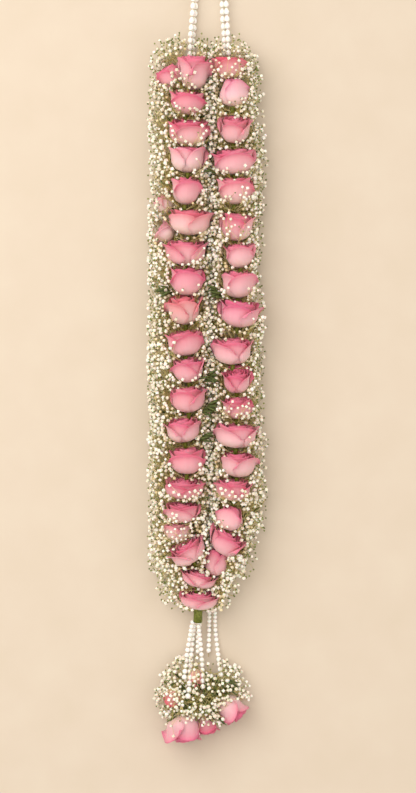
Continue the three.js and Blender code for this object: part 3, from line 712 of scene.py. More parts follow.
def spray_tree():
    """A thicket: its edges become stems, and its loose points florets, buds and leaves."""
    tree, given, result = new_tree("babys_breath", {
        "Floret": "Object", "Floret Calyx": "Object", "Bud": "Object", "Inner Floret": "Object",
        "Leaf": "Object",
        "Floret Finish": "Material", "Aged Shaded Finish": "Material", "Cup Finish": "Material",
        "Stem Finish": "Material", "Leaf Finish": "Material",
    })

    kind, size, facing = (
        add(tree, "GeometryNodeInputNamedAttribute", {"data_type": form}, {"Name": name})
        for name, form in (("kind", "FLOAT"), ("size", "FLOAT"), ("facing", "FLOAT_VECTOR")))
    radius = add(tree, "ShaderNodeMath", {"operation": "MULTIPLY"}, {0: size, 1: 0.5})
    line = add(tree, "GeometryNodeMeshToCurve", inputs={"Mesh": given["Geometry"]})
    section = add(tree, "GeometryNodeCurvePrimitiveCircle", inputs={"Resolution": 3, "Radius": 1.0})
    stems = add(tree, "GeometryNodeCurveToMesh", inputs={
        "Curve": line, "Profile Curve": section, "Scale": radius, "Fill Caps": True})
    axis = add(tree, "FunctionNodeAlignRotationToVector", {"axis": "Z"}, {"Vector": facing})
    spin = add(tree, "FunctionNodeRandomValue", {"data_type": "FLOAT"},
               {"Min": 0.0, "Max": 2 * math.pi, "Seed": 5}).outputs["Value"]
    spin = add(tree, "ShaderNodeCombineXYZ", inputs={2: spin})
    turned = add(tree, "FunctionNodeRotateRotation", {"rotation_space": "LOCAL"},
                 {"Rotation": axis, "Rotate By": spin})
    # a leaf is rolled until its blade faces up
    level = add(tree, "FunctionNodeAlignRotationToVector", {"axis": "Y", "pivot_axis": "Z"},
                {"Rotation": axis, "Vector": (0, 0, 1)})
    branches = [(stems, "POINT", given["Stem Finish"])]
    for number, source, finish in ((FLORET, "Floret", "Floret"), (FLORET, "Floret Calyx", "Cup"),
                                   (BUD, "Bud", "Cup"), (LEAF, "Leaf", "Leaf"),
                                   # the florets under the outer layer take the aged finish, drawn darker and
                                   # warmer as painted shade
                                   (INNER, "Inner Floret", "Aged Shaded")):
        chosen = add(tree, "ShaderNodeMath", {"operation": "COMPARE"},
                     {0: kind, 1: float(number), 2: 0.5})
        spots = add(tree, "GeometryNodeMeshToPoints", inputs={
            "Mesh": given["Geometry"], "Selection": chosen})
        shape = add(tree, "GeometryNodeObjectInfo", inputs={"Object": given[source]})
        placed = add(tree, "GeometryNodeInstanceOnPoints", inputs={
            "Points": spots, "Instance": shape.outputs["Geometry"],
            "Rotation": level if number == LEAF else turned, "Scale": size})
        branches.append((placed, "INSTANCE", given[finish + " Finish"]))
    close_tree(tree, result, branches)
    return tree


# Where the middle of each leg and of the tassel is, seen from above, in millimetres.
ROPE_ROUTES = {
    "left": [(-22, 400), (-25, 330), (-26, 240), (-27, 140), (-27, 40), (-28, -60), (-30, -130),
             (-27, -180), (-20, -220), (-16, -246)],
    "right": [(24, 400), (30, 330), (31, 240), (35, 140), (33, 40), (33, -60), (28, -130),
              (23, -180), (17, -226)],
    "tassel": [(-6, -320), (-6, -410)],
}
ROPE_HEIGHT = 0.006
# How high the baby's breath rises, in metres, by place along each part.
LEG_TOPS = [(0.034, 0.415), (0.046, 0.39), (0.046, -0.2), (0.04, -0.26)]
BED_TOPS = {"left": LEG_TOPS, "right": LEG_TOPS, "tassel": [(0.024, -0.322), (0.042, -0.366)]}
BED_LOW = 0.002
# How far inside the bed's outline most of a leg's outer florets end, in metres, by place along it.
EDGE_INSETS = {
    "left": [(0.003, 0.4), (0.001, 0.3), (0.003, -0.26)],
    "right": [(0.002, 0.4), (0.005, 0.3), (0.002, -0.13), (0.009, -0.25)],
}
# The florets bunch along a leg: each wave's pitch, and how far its hollows draw in, in metres.
BUNCHES = ((0.047, 0.003), (0.029, 0.0015))
LEAFY = (-0.22, 0.385)  # the stretch whose sprigs carry leaves
HEADS = {node: head_of(node) for node in ROSES}
# Sprigs that lie over a rose: where round the head in degrees (0 is its front and 90 its right), where
# up it as a share of its length, and how many florets they have.
TUFTS = {
    "rose_left_01": [(-55, 0.3, 10), (-25, 0.2, 10), (-5, 0.1, 7)],
    "rose_left_02": [(-35, 0.3, 12), (-10, 0.2, 9), (20, 0.2, 8)],
    "rose_left_03": [(-40, 0.45, 7), (0, 0.35, 7), (35, 0.4, 7), (-20, 0.7, 7), (25, 0.75, 7)],
    "rose_left_06": [(-35, 0.2, 6), (40, 0.25, 6)],
    "rose_left_07": [(-40, 0.4, 8), (-5, 0.35, 7), (30, 0.3, 6), (-10, 0.7, 9), (20, 0.8, 6)],
    "rose_left_10": [(-45, 0.2, 6)],
    "rose_left_11": [(40, 0.3, 6)],
    "rose_left_15": [(-35, 0.6, 9), (0, 0.4, 8), (35, 0.6, 9), (0, 0.75, 8)],
    "rose_left_16": [(-30, 0.4, 8), (20, 0.3, 8)],
    "rose_left_17": [(-30, 0.6, 12), (0, 0.4, 12), (30, 0.6, 12), (0, 0.8, 9)],
    "rose_right_01": [(-40, 0.6, 10), (-5, 0.45, 10), (30, 0.6, 10), (55, 0.4, 8)],
    "rose_right_02": [(35, 0.05, 6)],
    "rose_right_03": [(10, 0.12, 5)],
    "rose_right_04": [(-20, 0.15, 6), (25, 0.2, 9)],
    "rose_right_05": [(-30, 0.3, 7), (30, 0.25, 6)],
    "rose_right_06": [(-35, 0.35, 6), (20, 0.3, 5), (-25, 0.7, 6), (20, 0.75, 6)],
    "rose_right_08": [(-50, 0.3, 7)],
    "rose_right_12": [(-35, 0.7, 8), (10, 0.75, 8), (40, 0.5, 7)],
    "rose_right_15": [(-35, 0.6, 9), (5, 0.45, 8), (40, 0.6, 8), (0, 0.75, 7)],
    "rose_right_16": [(-30, 0.25, 6)],
    "rose_tip_01": [(-30, 0.1, 5)],
    "rose_tip_03": [(-45, 0.2, 6)],
    "rose_tassel_01": [(-40, 0.02, 6), (0, 0.0, 6), (40, 0.05, 6)],
    "rose_tassel_02": [(40, 0.1, 8), (70, 0.3, 8), (0, 0.08, 5)],
    "rose_tassel_03": [(-20, 0.3, 7), (20, 0.4, 7)],
    "rose_tassel_04": [(-50, 0.6, 14), (30, 0.3, 14), (0, 0.8, 16), (50, 0.7, 16), (-20, 0.4, 12),
                       (20, 0.95, 12)],
    "rose_tassel_05": [(-40, 0.5, 16), (0, 0.4, 16), (40, 0.6, 16), (0, 0.8, 16), (-20, 0.65, 14),
                       (20, 0.2, 14)],
}

# Tufts of leaves with no florets: where round a rose's head they show, in degrees.
LEAVES = {"rose_left_08": -72, "rose_left_11": 70, "rose_left_12": 72, "rose_left_13": 72,
          "rose_right_08": -72, "rose_left_04": 75}

HEAD_REACH = 0.06  # no rose reaches further than this from its foot
HALF_WIDTH = 0.073  # no floret's centre is further out than this
LOWEST, HIGHEST = 0.001, 0.067  # and none is outside these heights
WALL_STEP = 0.003  # the bed's outline is read every step along it, at these heights
WALL_HEIGHTS = (0.008, 0.013, 0.019)
BEYOND = 0.2  # well outside the bed
BELLY = 0.42  # the height of the widest place on a section, as a share of the section's own
ROUNDNESS = 0.75  # of a section: 1 is round, and less is squarer

# Widths of the stems at both ends.
SPRIG_STEM = (0.0012, 0.0008)
TUFT_STEM = (0.001, 0.0007)
STRIPPED_STEM = (0.0013, 0.001)
FLORET_STEM = (0.0006, 0.00042)
INNER_STEM = (0.0006, 0.0005)
STRIPPED_STEP = 0.018  # between the points of a stripped stem, along the rope
SET_IN = 0.0016  # how far a floret's centre is past the end of its stem
# Widths of the florets, from the least to the most, and of the buds.
SPRIG_FLORETS = (0.0036, 0.0058)
TUFT_FLORETS = (0.0031, 0.0051)
WISP_FLORETS = (0.0034, 0.005)
SPRIG_BUD = 0.0023
WISP_BUD = 0.0027
TUFT_SHUT, WISP_SHUT = 0.16, 0.6  # the chance that a tip is a bud
# The least between the centres of two florets of sprigs, and of two of tufts.
SPRIG_GAP, TUFT_GAP = 0.0041, 0.0046
CLEAR_OF_PETALS = 0.0018  # between a floret's centre and a rose


def between(table, y):
    """The value at y in a table of (value, y) rows whose y goes down."""
    if y >= table[0][1]:
        return table[0][0]
    for (before, high), (after, low) in zip(table, table[1:]):
        if y >= low:
            return after + (before - after) * (y - low) / (high - low)
    return table[-1][0]


def in_rose(place, margin):
    """Whether a place is in a rose's head, or nearer to one than the margin."""
    for turn, foot, length, width in HEADS.values():
        if abs(place.y - foot.y) > HEAD_REACH or abs(place.x - foot.x) > HEAD_REACH:
            continue
        own = turn.transposed() @ (place - foot)
        high = own.y / length
        if -0.12 < high < 1.02:
            full = min(0.93, 0.4 + 1.3 * max(high, 0.0))
            if math.hypot(own.x, own.z) < width / 2 * full + margin:
                return True
    return False


def on_head(node, angle, high, gap):
    """The place at an angle round a rose's head and a share up it, this far off its petals."""
    turn, foot, length, width = HEADS[node]
    out = width / 2 * min(1.0, 0.5 + 1.3 * max(high, 0.0)) + gap
    return foot + turn @ Vector((math.sin(angle) * out, high * length, math.cos(angle) * out))


def clear_of(place):
    """Whether a place is inside the part's own box, and doesn't hide what lies on the flowers."""
    if abs(place.x) > HALF_WIDTH or not LOWEST < place.z < HIGHEST:
        return False
    return not any((place - spot).xy.length < reach and place.z > spot.z for spot, reach in SHOWN)


def section_of(part):
    """A function from a place along a leg or the tassel, an angle round it (90 is up) and a share
    of the way out, to the point there in its baby's breath, or None past its ends."""
    bed = bmesh.new()
    bed.from_mesh(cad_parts["babys_breath_" + part].data)
    tree = BVHTree.FromBMesh(bed)
    bed.free()
    walls = {}

    def wall(y, way):
        """How far out the bed goes on one side, way, at a place along it."""
        row = round(y / WALL_STEP)
        if (row, way) not in walls:
            hits = [tree.ray_cast(Vector((way * BEYOND, row * WALL_STEP, z)), Vector((-way, 0, 0)))[0]
                    for z in WALL_HEIGHTS]
            walls[row, way] = max((way * hit.x for hit in hits if hit), default=None)
        return walls[row, way]

    def section(y, angle, share):
        side = 1 if math.cos(angle) > 0 else -1
        edge = wall(y, side)
        if edge is None:
            return None
        if part in EDGE_INSETS and side == (1 if part == "right" else -1):
            hollow = sum(deep * math.sin(math.pi * y / pitch + side) ** 2 for pitch, deep in BUNCHES)
            edge -= side * (between(EDGE_INSETS[part], y) + hollow)
        middle = between(ROPE_ROUTES[part], y / MM) * MM
        high = between(BED_TOPS[part], y)
        centre = BELLY * high
        out = abs(math.cos(angle)) ** ROUNDNESS * share
        up = abs(math.sin(angle)) ** ROUNDNESS * share
        rise = (high - centre) * up if math.sin(angle) > 0 else (BED_LOW - centre) * up
        return Vector((middle + (side * edge - middle) * out, y, max(centre + rise, BED_LOW)))

    return section


class Bush:
    """The points and edges that the baby's breath tree grows a thicket from."""

    def __init__(self, part, rooted, seed):
        self.section = section_of(part)
        self.inner = {"left": 0.0, "right": math.pi}.get(part)  # the way to the other leg
        self.rooted = rooted  # where along the leg a sprig is rooted, given where its florets are
        self.draw = random.Random(seed)
        self.points, self.edges, self.kind, self.size, self.facing, self.shade = [], [], [], [], [], []
        self.taken = {}

    def crowded(self, place, gap=SPRIG_GAP):
        """Whether a floret placed with the same gap is nearer than that. If not, the place is taken.
        One placed with another gap is mostly missed, because its cells have another size."""
        cell = [math.floor(c / gap) for c in place]
        around = [(cell[0] + i, cell[1] + j, cell[2] + k)
                  for i in (-1, 0, 1) for j in (-1, 0, 1) for k in (-1, 0, 1)]
        if any((other - place).length < gap for near in around for other in self.taken.get(near, ())):
            return True
        self.taken.setdefault(tuple(cell), []).append(place)
        return False

    def point(self, place, kind, size, facing=(0, 0, 1), shade=0.0):
        """Keeps a point of the thicket, above the board, and gives its number."""
        facing = Vector(facing).normalized()
        low = max(BED_LOW, 0.0 if kind == STEM else 0.6 * size)
        if kind == LEAF and place.z + facing.z * size < low:
            facing.z = -facing.z
        self.points.append((place.x, place.y, max(place.z, low)))
        self.kind.append(kind)
        self.size.append(size)
        self.facing.append(facing)
        self.shade.append(shade)
        return len(self.points) - 1

    def leaf(self, place, size, facing, shade):
        """A leaf from a place, unless any of it would be in a rose."""
        tip = place + Vector(facing).normalized() * size
        if not any(in_rose(place.lerp(tip, share), 0.0005) for share in (0, 0.35, 0.7, 1)):
            self.point(place, LEAF, size, facing, shade)

    def stem(self, line, widths, shade):
        """A stem along a line, tapering from the first width to the second."""
        thick, thin = widths
        last = len(line) - 1
        made = [self.point(place, STEM, thick + (thin - thick) * k / last, shade=shade)
                for k, place in enumerate(line)]
        self.edges += list(zip(made, made[1:]))

    def bloom(self, tip, facing, shade, shut, bud, florets):
        """A bud of one width, by a chance of shut, or else a floret between two widths."""
        if self.draw.random() < shut:
            self.point(tip, BUD, bud, facing, shade)
        else:
            self.point(tip, FLORET, self.draw.uniform(*florets), facing, shade)

    def scatter(self, reach):
        return Vector([self.draw.gauss(0, reach) for _ in range(3)])

    def fan(self, hub, tips, shade, shut):
        """A branch from the hub to each tip that is clear of the roses, with a floret on it, or a
        bud on as many as the share that is shut. A tip comes with whether it is in the outer
        layer: the ones under that are simpler."""
        for tip, outer in tips:
            bend = Vector((hub.x * 0.3 + tip.x * 0.7,
                           hub.y * 0.5 + tip.y * 0.5,
                           hub.z * 0.55 + tip.z * 0.45))
            bend += self.scatter(0.0009)
            if in_rose(tip, CLEAR_OF_PETALS) or in_rose(bend, -0.001):
                continue
            if not clear_of(tip) or self.crowded(tip):
                continue
            if not outer:
                self.stem([hub, tip], INNER_STEM, shade)
                self.point(tip, INNER, self.draw.gauss(0.0044, 0.0005), tip - hub, shade)
                continue
            facing = (tip - bend).normalized() * 0.7 + Vector((0, 0, 0.1)) + self.scatter(0.45)
            self.stem([hub, bend, tip - facing.normalized() * SET_IN], FLORET_STEM, shade)
            self.bloom(tip, facing, shade, shut, SPRIG_BUD, SPRIG_FLORETS)

    def sprig(self, y, angle, depth, blooms, spread=1.0, deep=0.72, shut=0.2):
        """A sprig from the rope whose florets are round one place on the section, down to a share
        of its depth. A share of them is shut."""
        draw = self.draw
        crown = self.section(y, angle, depth)
        low = self.rooted(y)
        root = self.section(low, angle, 0.1) or self.section(0.7 * y + 0.3 * low, angle, 0.1)
        if crown is None or root is None or not clear_of(crown):
            return
        shade = draw.random()
        hub = root.lerp(crown, 0.62)
        hub.y = 0.6 * y + 0.4 * low
        # a hub that would be in a rose goes down until it is under it
        while hub.z > 0.005 and in_rose(hub, 0.0):
            hub.z -= 0.003
        bend = root.lerp(hub, 0.5) + self.scatter(0.0015)
        bend.z = max(min(bend.z, hub.z), BED_LOW)
        self.stem([root, bend, hub], SPRIG_STEM, shade)
        tips = []
        for _ in range(blooms):
            share = draw.uniform(deep, 1.07)
            tip = self.section(y + draw.gauss(0, 0.011 * spread), angle + draw.gauss(0, 0.3 * spread),
                               depth * share)
            if tip is not None:
                tips.append((tip, share > 0.9))
        self.fan(hub, tips, shade, shut)
        if LEAFY[0] < y < LEAFY[1] and draw.random() < 0.2:
            along = (hub - root).normalized() + self.scatter(0.35)
            self.leaf(root.lerp(hub, draw.random()), draw.uniform(0.010, 0.016), along, shade)

    def wisp(self, y, angle, way):
        """A thin side stem that stands out past the florets, with a bud or a small floret on it."""
        foot = self.section(y, angle, 0.92)
        if foot is None:
            return
        shade = self.draw.random()
        tip = foot + way + self.scatter(0.0012)
        if in_rose(tip, CLEAR_OF_PETALS) or in_rose(foot.lerp(tip, 0.5), 0.0):
            return
        if not clear_of(tip) or self.crowded(tip):
            return
        self.stem([foot, foot.lerp(tip, 0.5) + self.scatter(0.0009), tip], FLORET_STEM, shade)
        self.bloom(tip, way.normalized() + self.scatter(0.3), shade, WISP_SHUT, WISP_BUD, WISP_FLORETS)

    def filling(self, low, high, stems, leaves):
        """The stripped stems that run along the rope, under everything, and the leaves among them."""
        draw = self.draw
        for _ in range(stems):
            y, angle, share = draw.uniform(low, high), draw.uniform(0, 2 * math.pi), draw.uniform(0.1, 0.6)
            if self.inner is not None and draw.random() < 0.3:  # low down, where the legs meet
                low_angle = draw.uniform(-1.0, -0.1)
                angle = math.pi - low_angle if self.inner else low_angle
                share = draw.uniform(0.8, 1.12)
            line = [
                self.section(y - step * STRIPPED_STEP, angle + draw.gauss(0, 0.12),
                             share + draw.gauss(0, 0.05))
                for step in range(4)
            ]
            if None not in line and not any(in_rose(place, -0.004) for place in line):
                # these stems stay off the palest straw end of the olive: painted shade low in the bed, under
                # the florets
                self.stem(line, STRIPPED_STEM, draw.uniform(0.1, 0.7))
        for _ in range(leaves):
            place = self.section(draw.uniform(low, high), draw.uniform(0, 2 * math.pi),
                                 draw.uniform(0.2, 0.6))
            if place is not None:
                facing = Vector((place.x, 0.01 + draw.random() * 0.03, place.z - 0.02)) + self.scatter(0.02)
                self.leaf(place, draw.uniform(0.008, 0.015), facing, draw.random() * 0.5)

    def leaves(self, node, turn):
        """A tuft of leaves beside the lower part of a rose."""
        for _ in range(12):
            angle = math.radians(turn + self.draw.gauss(0, 10))
            place = on_head(node, angle, self.draw.uniform(0.0, 0.4), 0.003)
            out = Vector((math.sin(angle), self.draw.uniform(-0.6, 0.5), 0.2 * math.cos(angle) + 0.1))
            self.leaf(place, self.draw.uniform(0.014, 0.019), HEADS[node][0] @ out, 0.3)

    def tuft(self, node, turn, high, blooms):
        """Florets in front of a rose: round one place on its head, from a hub under its foot."""
        draw = self.draw
        frame_turn, foot, length, _ = HEADS[node]
        shade = draw.random()
        angle = math.radians(turn)
        root, hub = on_head(node, angle, -0.3, -0.012), on_head(node, angle, min(high - 0.3, 0.0), 0.002)
        self.stem([root, root.lerp(hub, 0.5) + self.scatter(0.001), hub], TUFT_STEM, shade)
        for _ in range(round(1.6 * blooms)):
            own_angle, own_high = angle + draw.gauss(0, 0.28), high + draw.gauss(0, 0.19)
            tip = on_head(node, own_angle, own_high, draw.uniform(0.003, 0.006))
            bend = on_head(node, (angle + own_angle) / 2, (own_high + high - 0.3) / 2, 0.0045)
            if not clear_of(tip) or self.crowded(tip, TUFT_GAP):
                continue
            facing = tip - foot - frame_turn @ Vector((0, length * own_high, 0)) + self.scatter(0.006)
            self.stem([hub, bend, tip - facing.normalized() * SET_IN], FLORET_STEM, shade)
            self.bloom(tip, facing, shade, TUFT_SHUT, SPRIG_BUD, TUFT_FLORETS)

    def piece(self, name, node):
        """Grows the thicket, as one piece that stands for a CAD node."""
        mesh = bpy.data.meshes.new(name)
        mesh.from_pydata(self.points, self.edges, [])
        for label, kind in (("kind", "FLOAT"), ("size", "FLOAT"), ("shade", "FLOAT"),
                            ("facing", "FLOAT_VECTOR")):
            set_attribute(mesh, label, kind, getattr(self, label))
        made = grown(name, SPRAYS, SPRAY_INPUTS, mesh)
        return belongs(made, "babys_breath", node)


# ---------------------------------------------------------------- finishes

def new_finish(name):
    """A material with this name, its tree and its shader."""
    material = bpy.data.materials.new(name)
    material.use_nodes = True
    return material, material.node_tree, material.node_tree.nodes["Principled BSDF"]


def set_stops(blend, stops):
    """Gives a colour ramp its (place, sRGB hex) stops."""
    for place, code in stops[2:]:
        blend.elements.new(place)
    for element, (place, code) in zip(blend.elements, stops):
        element.position = place
        element.color = colour(code)


def add_values(shader, values):
    for name, value in values.items():
        shader.inputs[name].default_value = value


def rose_petal():
    # Rose petal: a thin living sheet, grown, whose skin is set with tiny domed cells. They take away
    # all gloss and give it a velvet bloom; light glows through it, and its pink gathers at the rim.
    material, tree, shader = new_finish("rose_petal_velvet")
    values = {name: add(tree, "ShaderNodeAttribute", {"attribute_name": name}).outputs["Fac"]
              for name in ("rise", "rim", "tone", "hue", "odd", "across", "age")}
    for name, operation, *operands in [
        # veins run up a petal, about a millimetre apart, and fan out
        ("vein x", "MULTIPLY", "across", 9.0),
        ("vein y", "MULTIPLY", "rise", 1.2),
        ("vein z", "MULTIPLY", "odd", 20.0),
        ("depth", "MULTIPLY_ADD", "rise", 0.74, 0.06),
        ("depth", "MULTIPLY_ADD", "rim", 0.18, "depth"),
        ("inner", "SUBTRACT", 1.0, "age"),
        ("depth", "MULTIPLY_ADD", "inner", 0.3, "depth"),
        ("depth", "MULTIPLY_ADD", "odd", 0.09, "depth"),
        # a tone under 0 is paler still
        ("pallor", "MINIMUM", "tone", 0.0),
        ("depth", "MULTIPLY_ADD", "pallor", 0.9, "depth"),
        ("tone", "MULTIPLY_ADD", "odd", 0.2, "tone"),
    ]:
        operands = [values.get(one, one) for one in operands]
        values[name] = add(tree, "ShaderNodeMath", {"operation": operation}, dict(enumerate(operands)))
    place = add(tree, "ShaderNodeCombineXYZ", inputs={
        0: values["vein x"], 1: values["vein y"], 2: values["vein z"]})
    veins = add(tree, "ShaderNodeTexNoise", inputs={"Vector": place, "Scale": 1.0, "Detail": 2.0})
    depth = add(tree, "ShaderNodeMath", {"operation": "MULTIPLY_ADD"}, {
        0: veins, 1: 0.16, 2: values["depth"]})
    depth = add(tree, "ShaderNodeMath", {"operation": "SUBTRACT"}, {0: depth, 1: 0.08})
    warm = add(tree, "ShaderNodeMath", {"operation": "MULTIPLY_ADD"}, {0: values["hue"], 1: 0.02, 2: 0.5})
    pale = add(tree, "ShaderNodeValToRGB", inputs={0: depth})
    deep = add(tree, "ShaderNodeValToRGB", inputs={0: depth})
    set_stops(pale.color_ramp, [(0.0, "#E8D0BE"), (0.35, "#E8BFC1"), (0.75, "#E4A5AE"), (0.97, "#DC8097")])
    set_stops(deep.color_ramp, [(0.0, "#E2B4A6"), (0.35, "#E097A2"), (0.75, "#DB7A90"), (0.97, "#D0587A")])
    pink = add(tree, "ShaderNodeMix", {"data_type": "RGBA"}, {
        0: values["tone"], 6: pale.outputs["Color"], 7: deep.outputs["Color"]})
    pink = add(tree, "ShaderNodeHueSaturation", inputs={"Hue": warm, "Color": pink.outputs[2]})
    tree.links.new(pink.outputs[0], shader.inputs["Base Color"])
    # the domed cells are a fiftieth of a millimetre wide: drawn thirty times as coarse
    cells = add(tree, "ShaderNodeTexVoronoi", inputs={
        "Vector": add(tree, "ShaderNodeTexCoord").outputs["Object"], "Scale": 1 / (0.6 * MM)})
    bump = add(tree, "ShaderNodeBump", {"invert": True}, {
        "Strength": 0.25, "Distance": 0.00008, "Height": cells.outputs["Distance"]})
    ribs = add(tree, "ShaderNodeBump", inputs={
        "Strength": 0.5, "Distance": 0.0004, "Height": veins, "Normal": bump})
    tree.links.new(ribs.outputs[0], shader.inputs["Normal"])
    add_values(shader, {"Roughness": 0.58, "IOR": 1.4, "Subsurface Weight": 0.25, "Subsurface Scale": 0.002,
                        "Subsurface Radius": (1.0, 0.45, 0.4), "Sheen Weight": 0.25,
                        "Sheen Roughness": 0.4, "Specular IOR Level": 0.3})
    return material


def mottled(name, codes, grain, roughness, bump, extra, attribute=None):
    """A finish whose colour wanders between three sRGB hex values in patches of grain millimetres. An
    attribute, where one is named, moves the whole of a sprig towards one end."""
    material, tree, shader = new_finish(name)
    place = add(tree, "ShaderNodeTexCoord").outputs["Object"]
    patches = add(tree, "ShaderNodeTexNoise", inputs={
        "Vector": place, "Scale": 1 / (grain * MM), "Detail": 3.0})
    wander = patches
    if attribute:
        own = add(tree, "ShaderNodeAttribute", {"attribute_name": attribute}).outputs["Fac"]
        own = add(tree, "ShaderNodeMath", {"operation": "SUBTRACT"}, {0: own, 1: 0.5})
        wander = add(tree, "ShaderNodeMath", {"operation": "MULTIPLY_ADD"}, {0: own, 1: 0.5, 2: patches})
    blend = add(tree, "ShaderNodeValToRGB", inputs={0: wander})
    set_stops(blend.color_ramp, list(zip((0.25, 0.5, 0.75), codes)))
    tree.links.new(blend.outputs["Color"], shader.inputs["Base Color"])
    raised = add(tree, "ShaderNodeBump", inputs={
        "Strength": 0.6, "Distance": bump * MM, "Height": patches})
    tree.links.new(raised.outputs[0], shader.inputs["Normal"])
    add_values(shader, {"Roughness": roughness, **extra})
    return material


PETAL = rose_petal()
# Rose calyx and cut stem: living green skin with a thin wax bloom, which gives a soft sheen.
CALYX = mottled("rose_calyx_green", ("#465010", "#646C1C", "#868A36"), 2.5, 0.5, 0.15,
                {"Subsurface Weight": 0.05, "Subsurface Scale": 0.001, "IOR": 1.45})
# Baby's breath floret: a pompon of tiny crimped petals, dull and cream white, and lit from within.
FLORET_WHITE = mottled("floret_cream_white", ("#E2D8C0", "#F5EFE0", "#FCF9F0"), 0.9, 0.7, 0.4,
                       {"Subsurface Weight": 0.2, "Subsurface Scale": 0.001, "Sheen Weight": 0.2}, "shade")
# The florets under the outer ones opened first: the same petals, yellowed and dry, and darker as painted
# shade deep in the thicket.
FLORET_AGED_AND_SHADED = mottled("floret_aged_shaded_cream", ("#E2CE98", "#F2E4BC", "#FBF2DA"), 0.9, 0.75, 0.4,
                      {"Sheen Weight": 0.1}, "shade")
# Baby's breath stem: wiry and smooth, olive going to straw where it has dried.
STEM_OLIVE = mottled("stem_dried_olive", ("#A39648", "#D6C67A", "#F1E6B8"), 3.0, 0.6, 0.05, {}, "shade")
# Baby's breath calyx: a thin green cup, gone olive. On a closed bud it is most of what shows.
CUP_OLIVE = mottled("calyx_cup_olive", ("#56642A", "#747E3C", "#969C58"), 1.5, 0.6, 0.05, {}, "shade")
# Baby's breath leaf: narrow and dark, with the grey bloom that dulls it.
LEAF_GREEN = mottled("leaf_dull_green", ("#3A4818", "#535F25", "#747C38"), 2.0, 0.62, 0.05, {}, "shade")
# Glass pearl: a glass bead dipped in pearl essence. The coats give a soft glow under a small highlight.
PEARL = mottled("glass_pearl_lustre", ("#F6F3EC", "#FAF7F1", "#FDFCF9"), 4.0, 0.24, 0.02,
                {"IOR": 1.52, "Coat Weight": 0.5, "Coat Roughness": 0.12, "Subsurface Weight": 0.15,
                 "Subsurface Scale": 0.002, "Sheen Weight": 0.1})
# Beading thread: twisted cotton, waxed, straw brown and dull.
THREAD = mottled("beading_thread_waxed", ("#9A8460", "#B29C76", "#C7B48E"), 0.6, 0.8, 0.08, {})
# Cotton rope: three spun strands laid together, undyed. It is dull, with a soft fuzz.
COTTON = mottled("cotton_rope_undyed", ("#CDBF9C", "#DCD0B2", "#E8DEC6"), 1.5, 0.9, 0.2,
                 {"Sheen Weight": 0.3})
# Painted board: flat emulsion on a smooth panel. It shows almost no grain and no gloss.
BOARD = mottled("board_matt_paint", ("#CEC0AD", "#D0C2B0", "#D2C5B3"), 60.0, 0.9, 0.02, {})


# ---------------------------------------------------------------- making the garland

TEMPLATES = []


def template(name, shape, smooth=True):
    """A shape that a tree repeats. It is removed at the end."""
    made = mesh_object(name, *shape, smooth=smooth)
    TEMPLATES.append(made)
    return made


drop_pearl = template("drop_pearl", lathe(PEARL_OUTLINE, PEARL_SIDES))
round_pearl = template("round_pearl", lathe(ROUND_OUTLINE, PEARL_SIDES))
bead_tree = pearl_tree()
# What no floret may lie over, each as a place and how far round it: the two small pale roses at the
# side, the tufts of leaves, the pearls on the tassel, and the neck strands where they leave the flowers.
SHOWN = []
for node, share in (("rose_side_02", 0.34), ("rose_side_03", 0.42)):
    turn, foot, length, width = HEADS[node]
    SHOWN.append((foot + turn @ Vector((0, 0.5 * length, 0)), share * width))
LEAVES_SHOWN = 0.0057
SHOWN += [(on_head(node, math.radians(turn), 0.3, 0.008), LEAVES_SHOWN) for node, turn in LEAVES.items()]
PEARLS_SHOWN = 0.0044
TASSEL_TOP = -0.325
NECK_EXIT = (0.412, 0.45)
ROUTE_STEPS = 5
for node, (length, first, last, turn_at, far_end, route) in STRANDS.items():
    line = smooth_route([Vector([c * MM for c in point]) for point in route], ROUTE_STEPS)
    on_neck = node.startswith("neck")
    shape, pitch = (drop_pearl, PEARL_PITCH) if on_neck else (round_pearl, ROUND_PITCH)
    beaded, tail = 1.0, line
    if far_end == "bare":
        beaded = length / (length + BARE_THREAD)
        tail = line + [line[-1] + (line[-1] - line[-2]).normalized() * BARE_THREAD]
    strand = line_object(node + "_line", tail)
    beads = grown(node.replace("pearl_strand", "beads").replace("strand", "beads"), bead_tree, {
        "Count": round(length_of(line) / (pitch * (first + last) / 2)), "Beaded": beaded,
        "First Width": first, "Last Width": last, "Turn At": turn_at, "Thread Width": THREAD_WIDTH,
        "Pearl": shape, "Pearl Finish": PEARL, "Thread Finish": THREAD}, strand.data)
    bpy.data.objects.remove(strand)
    SHOWN += [(point, PEARLS_SHOWN) for point in line[::3]
              if point.y < TASSEL_TOP or NECK_EXIT[0] < point.y < NECK_EXIT[1]]
    belongs(beads, "pearl", node)

SPARE = 0.0008  # how far petals stay over the bottom of a rose's box, and may stand over its top
TALLER = 0.002  # how much further along the garland petals reach than their rose's box


def press(points, bottom, top):
    """Brings the points that lie under the bottom or over the top back between them."""
    middle = (bottom + top) / 2
    below = max(middle - v.co.z for v in points) / (middle - bottom - SPARE)
    above = max(v.co.z - middle for v in points) / (top - middle + SPARE)
    for v in points:
        height = v.co.z - middle
        v.co.z = middle + height / max(below if height < 0 else above, 1.0)


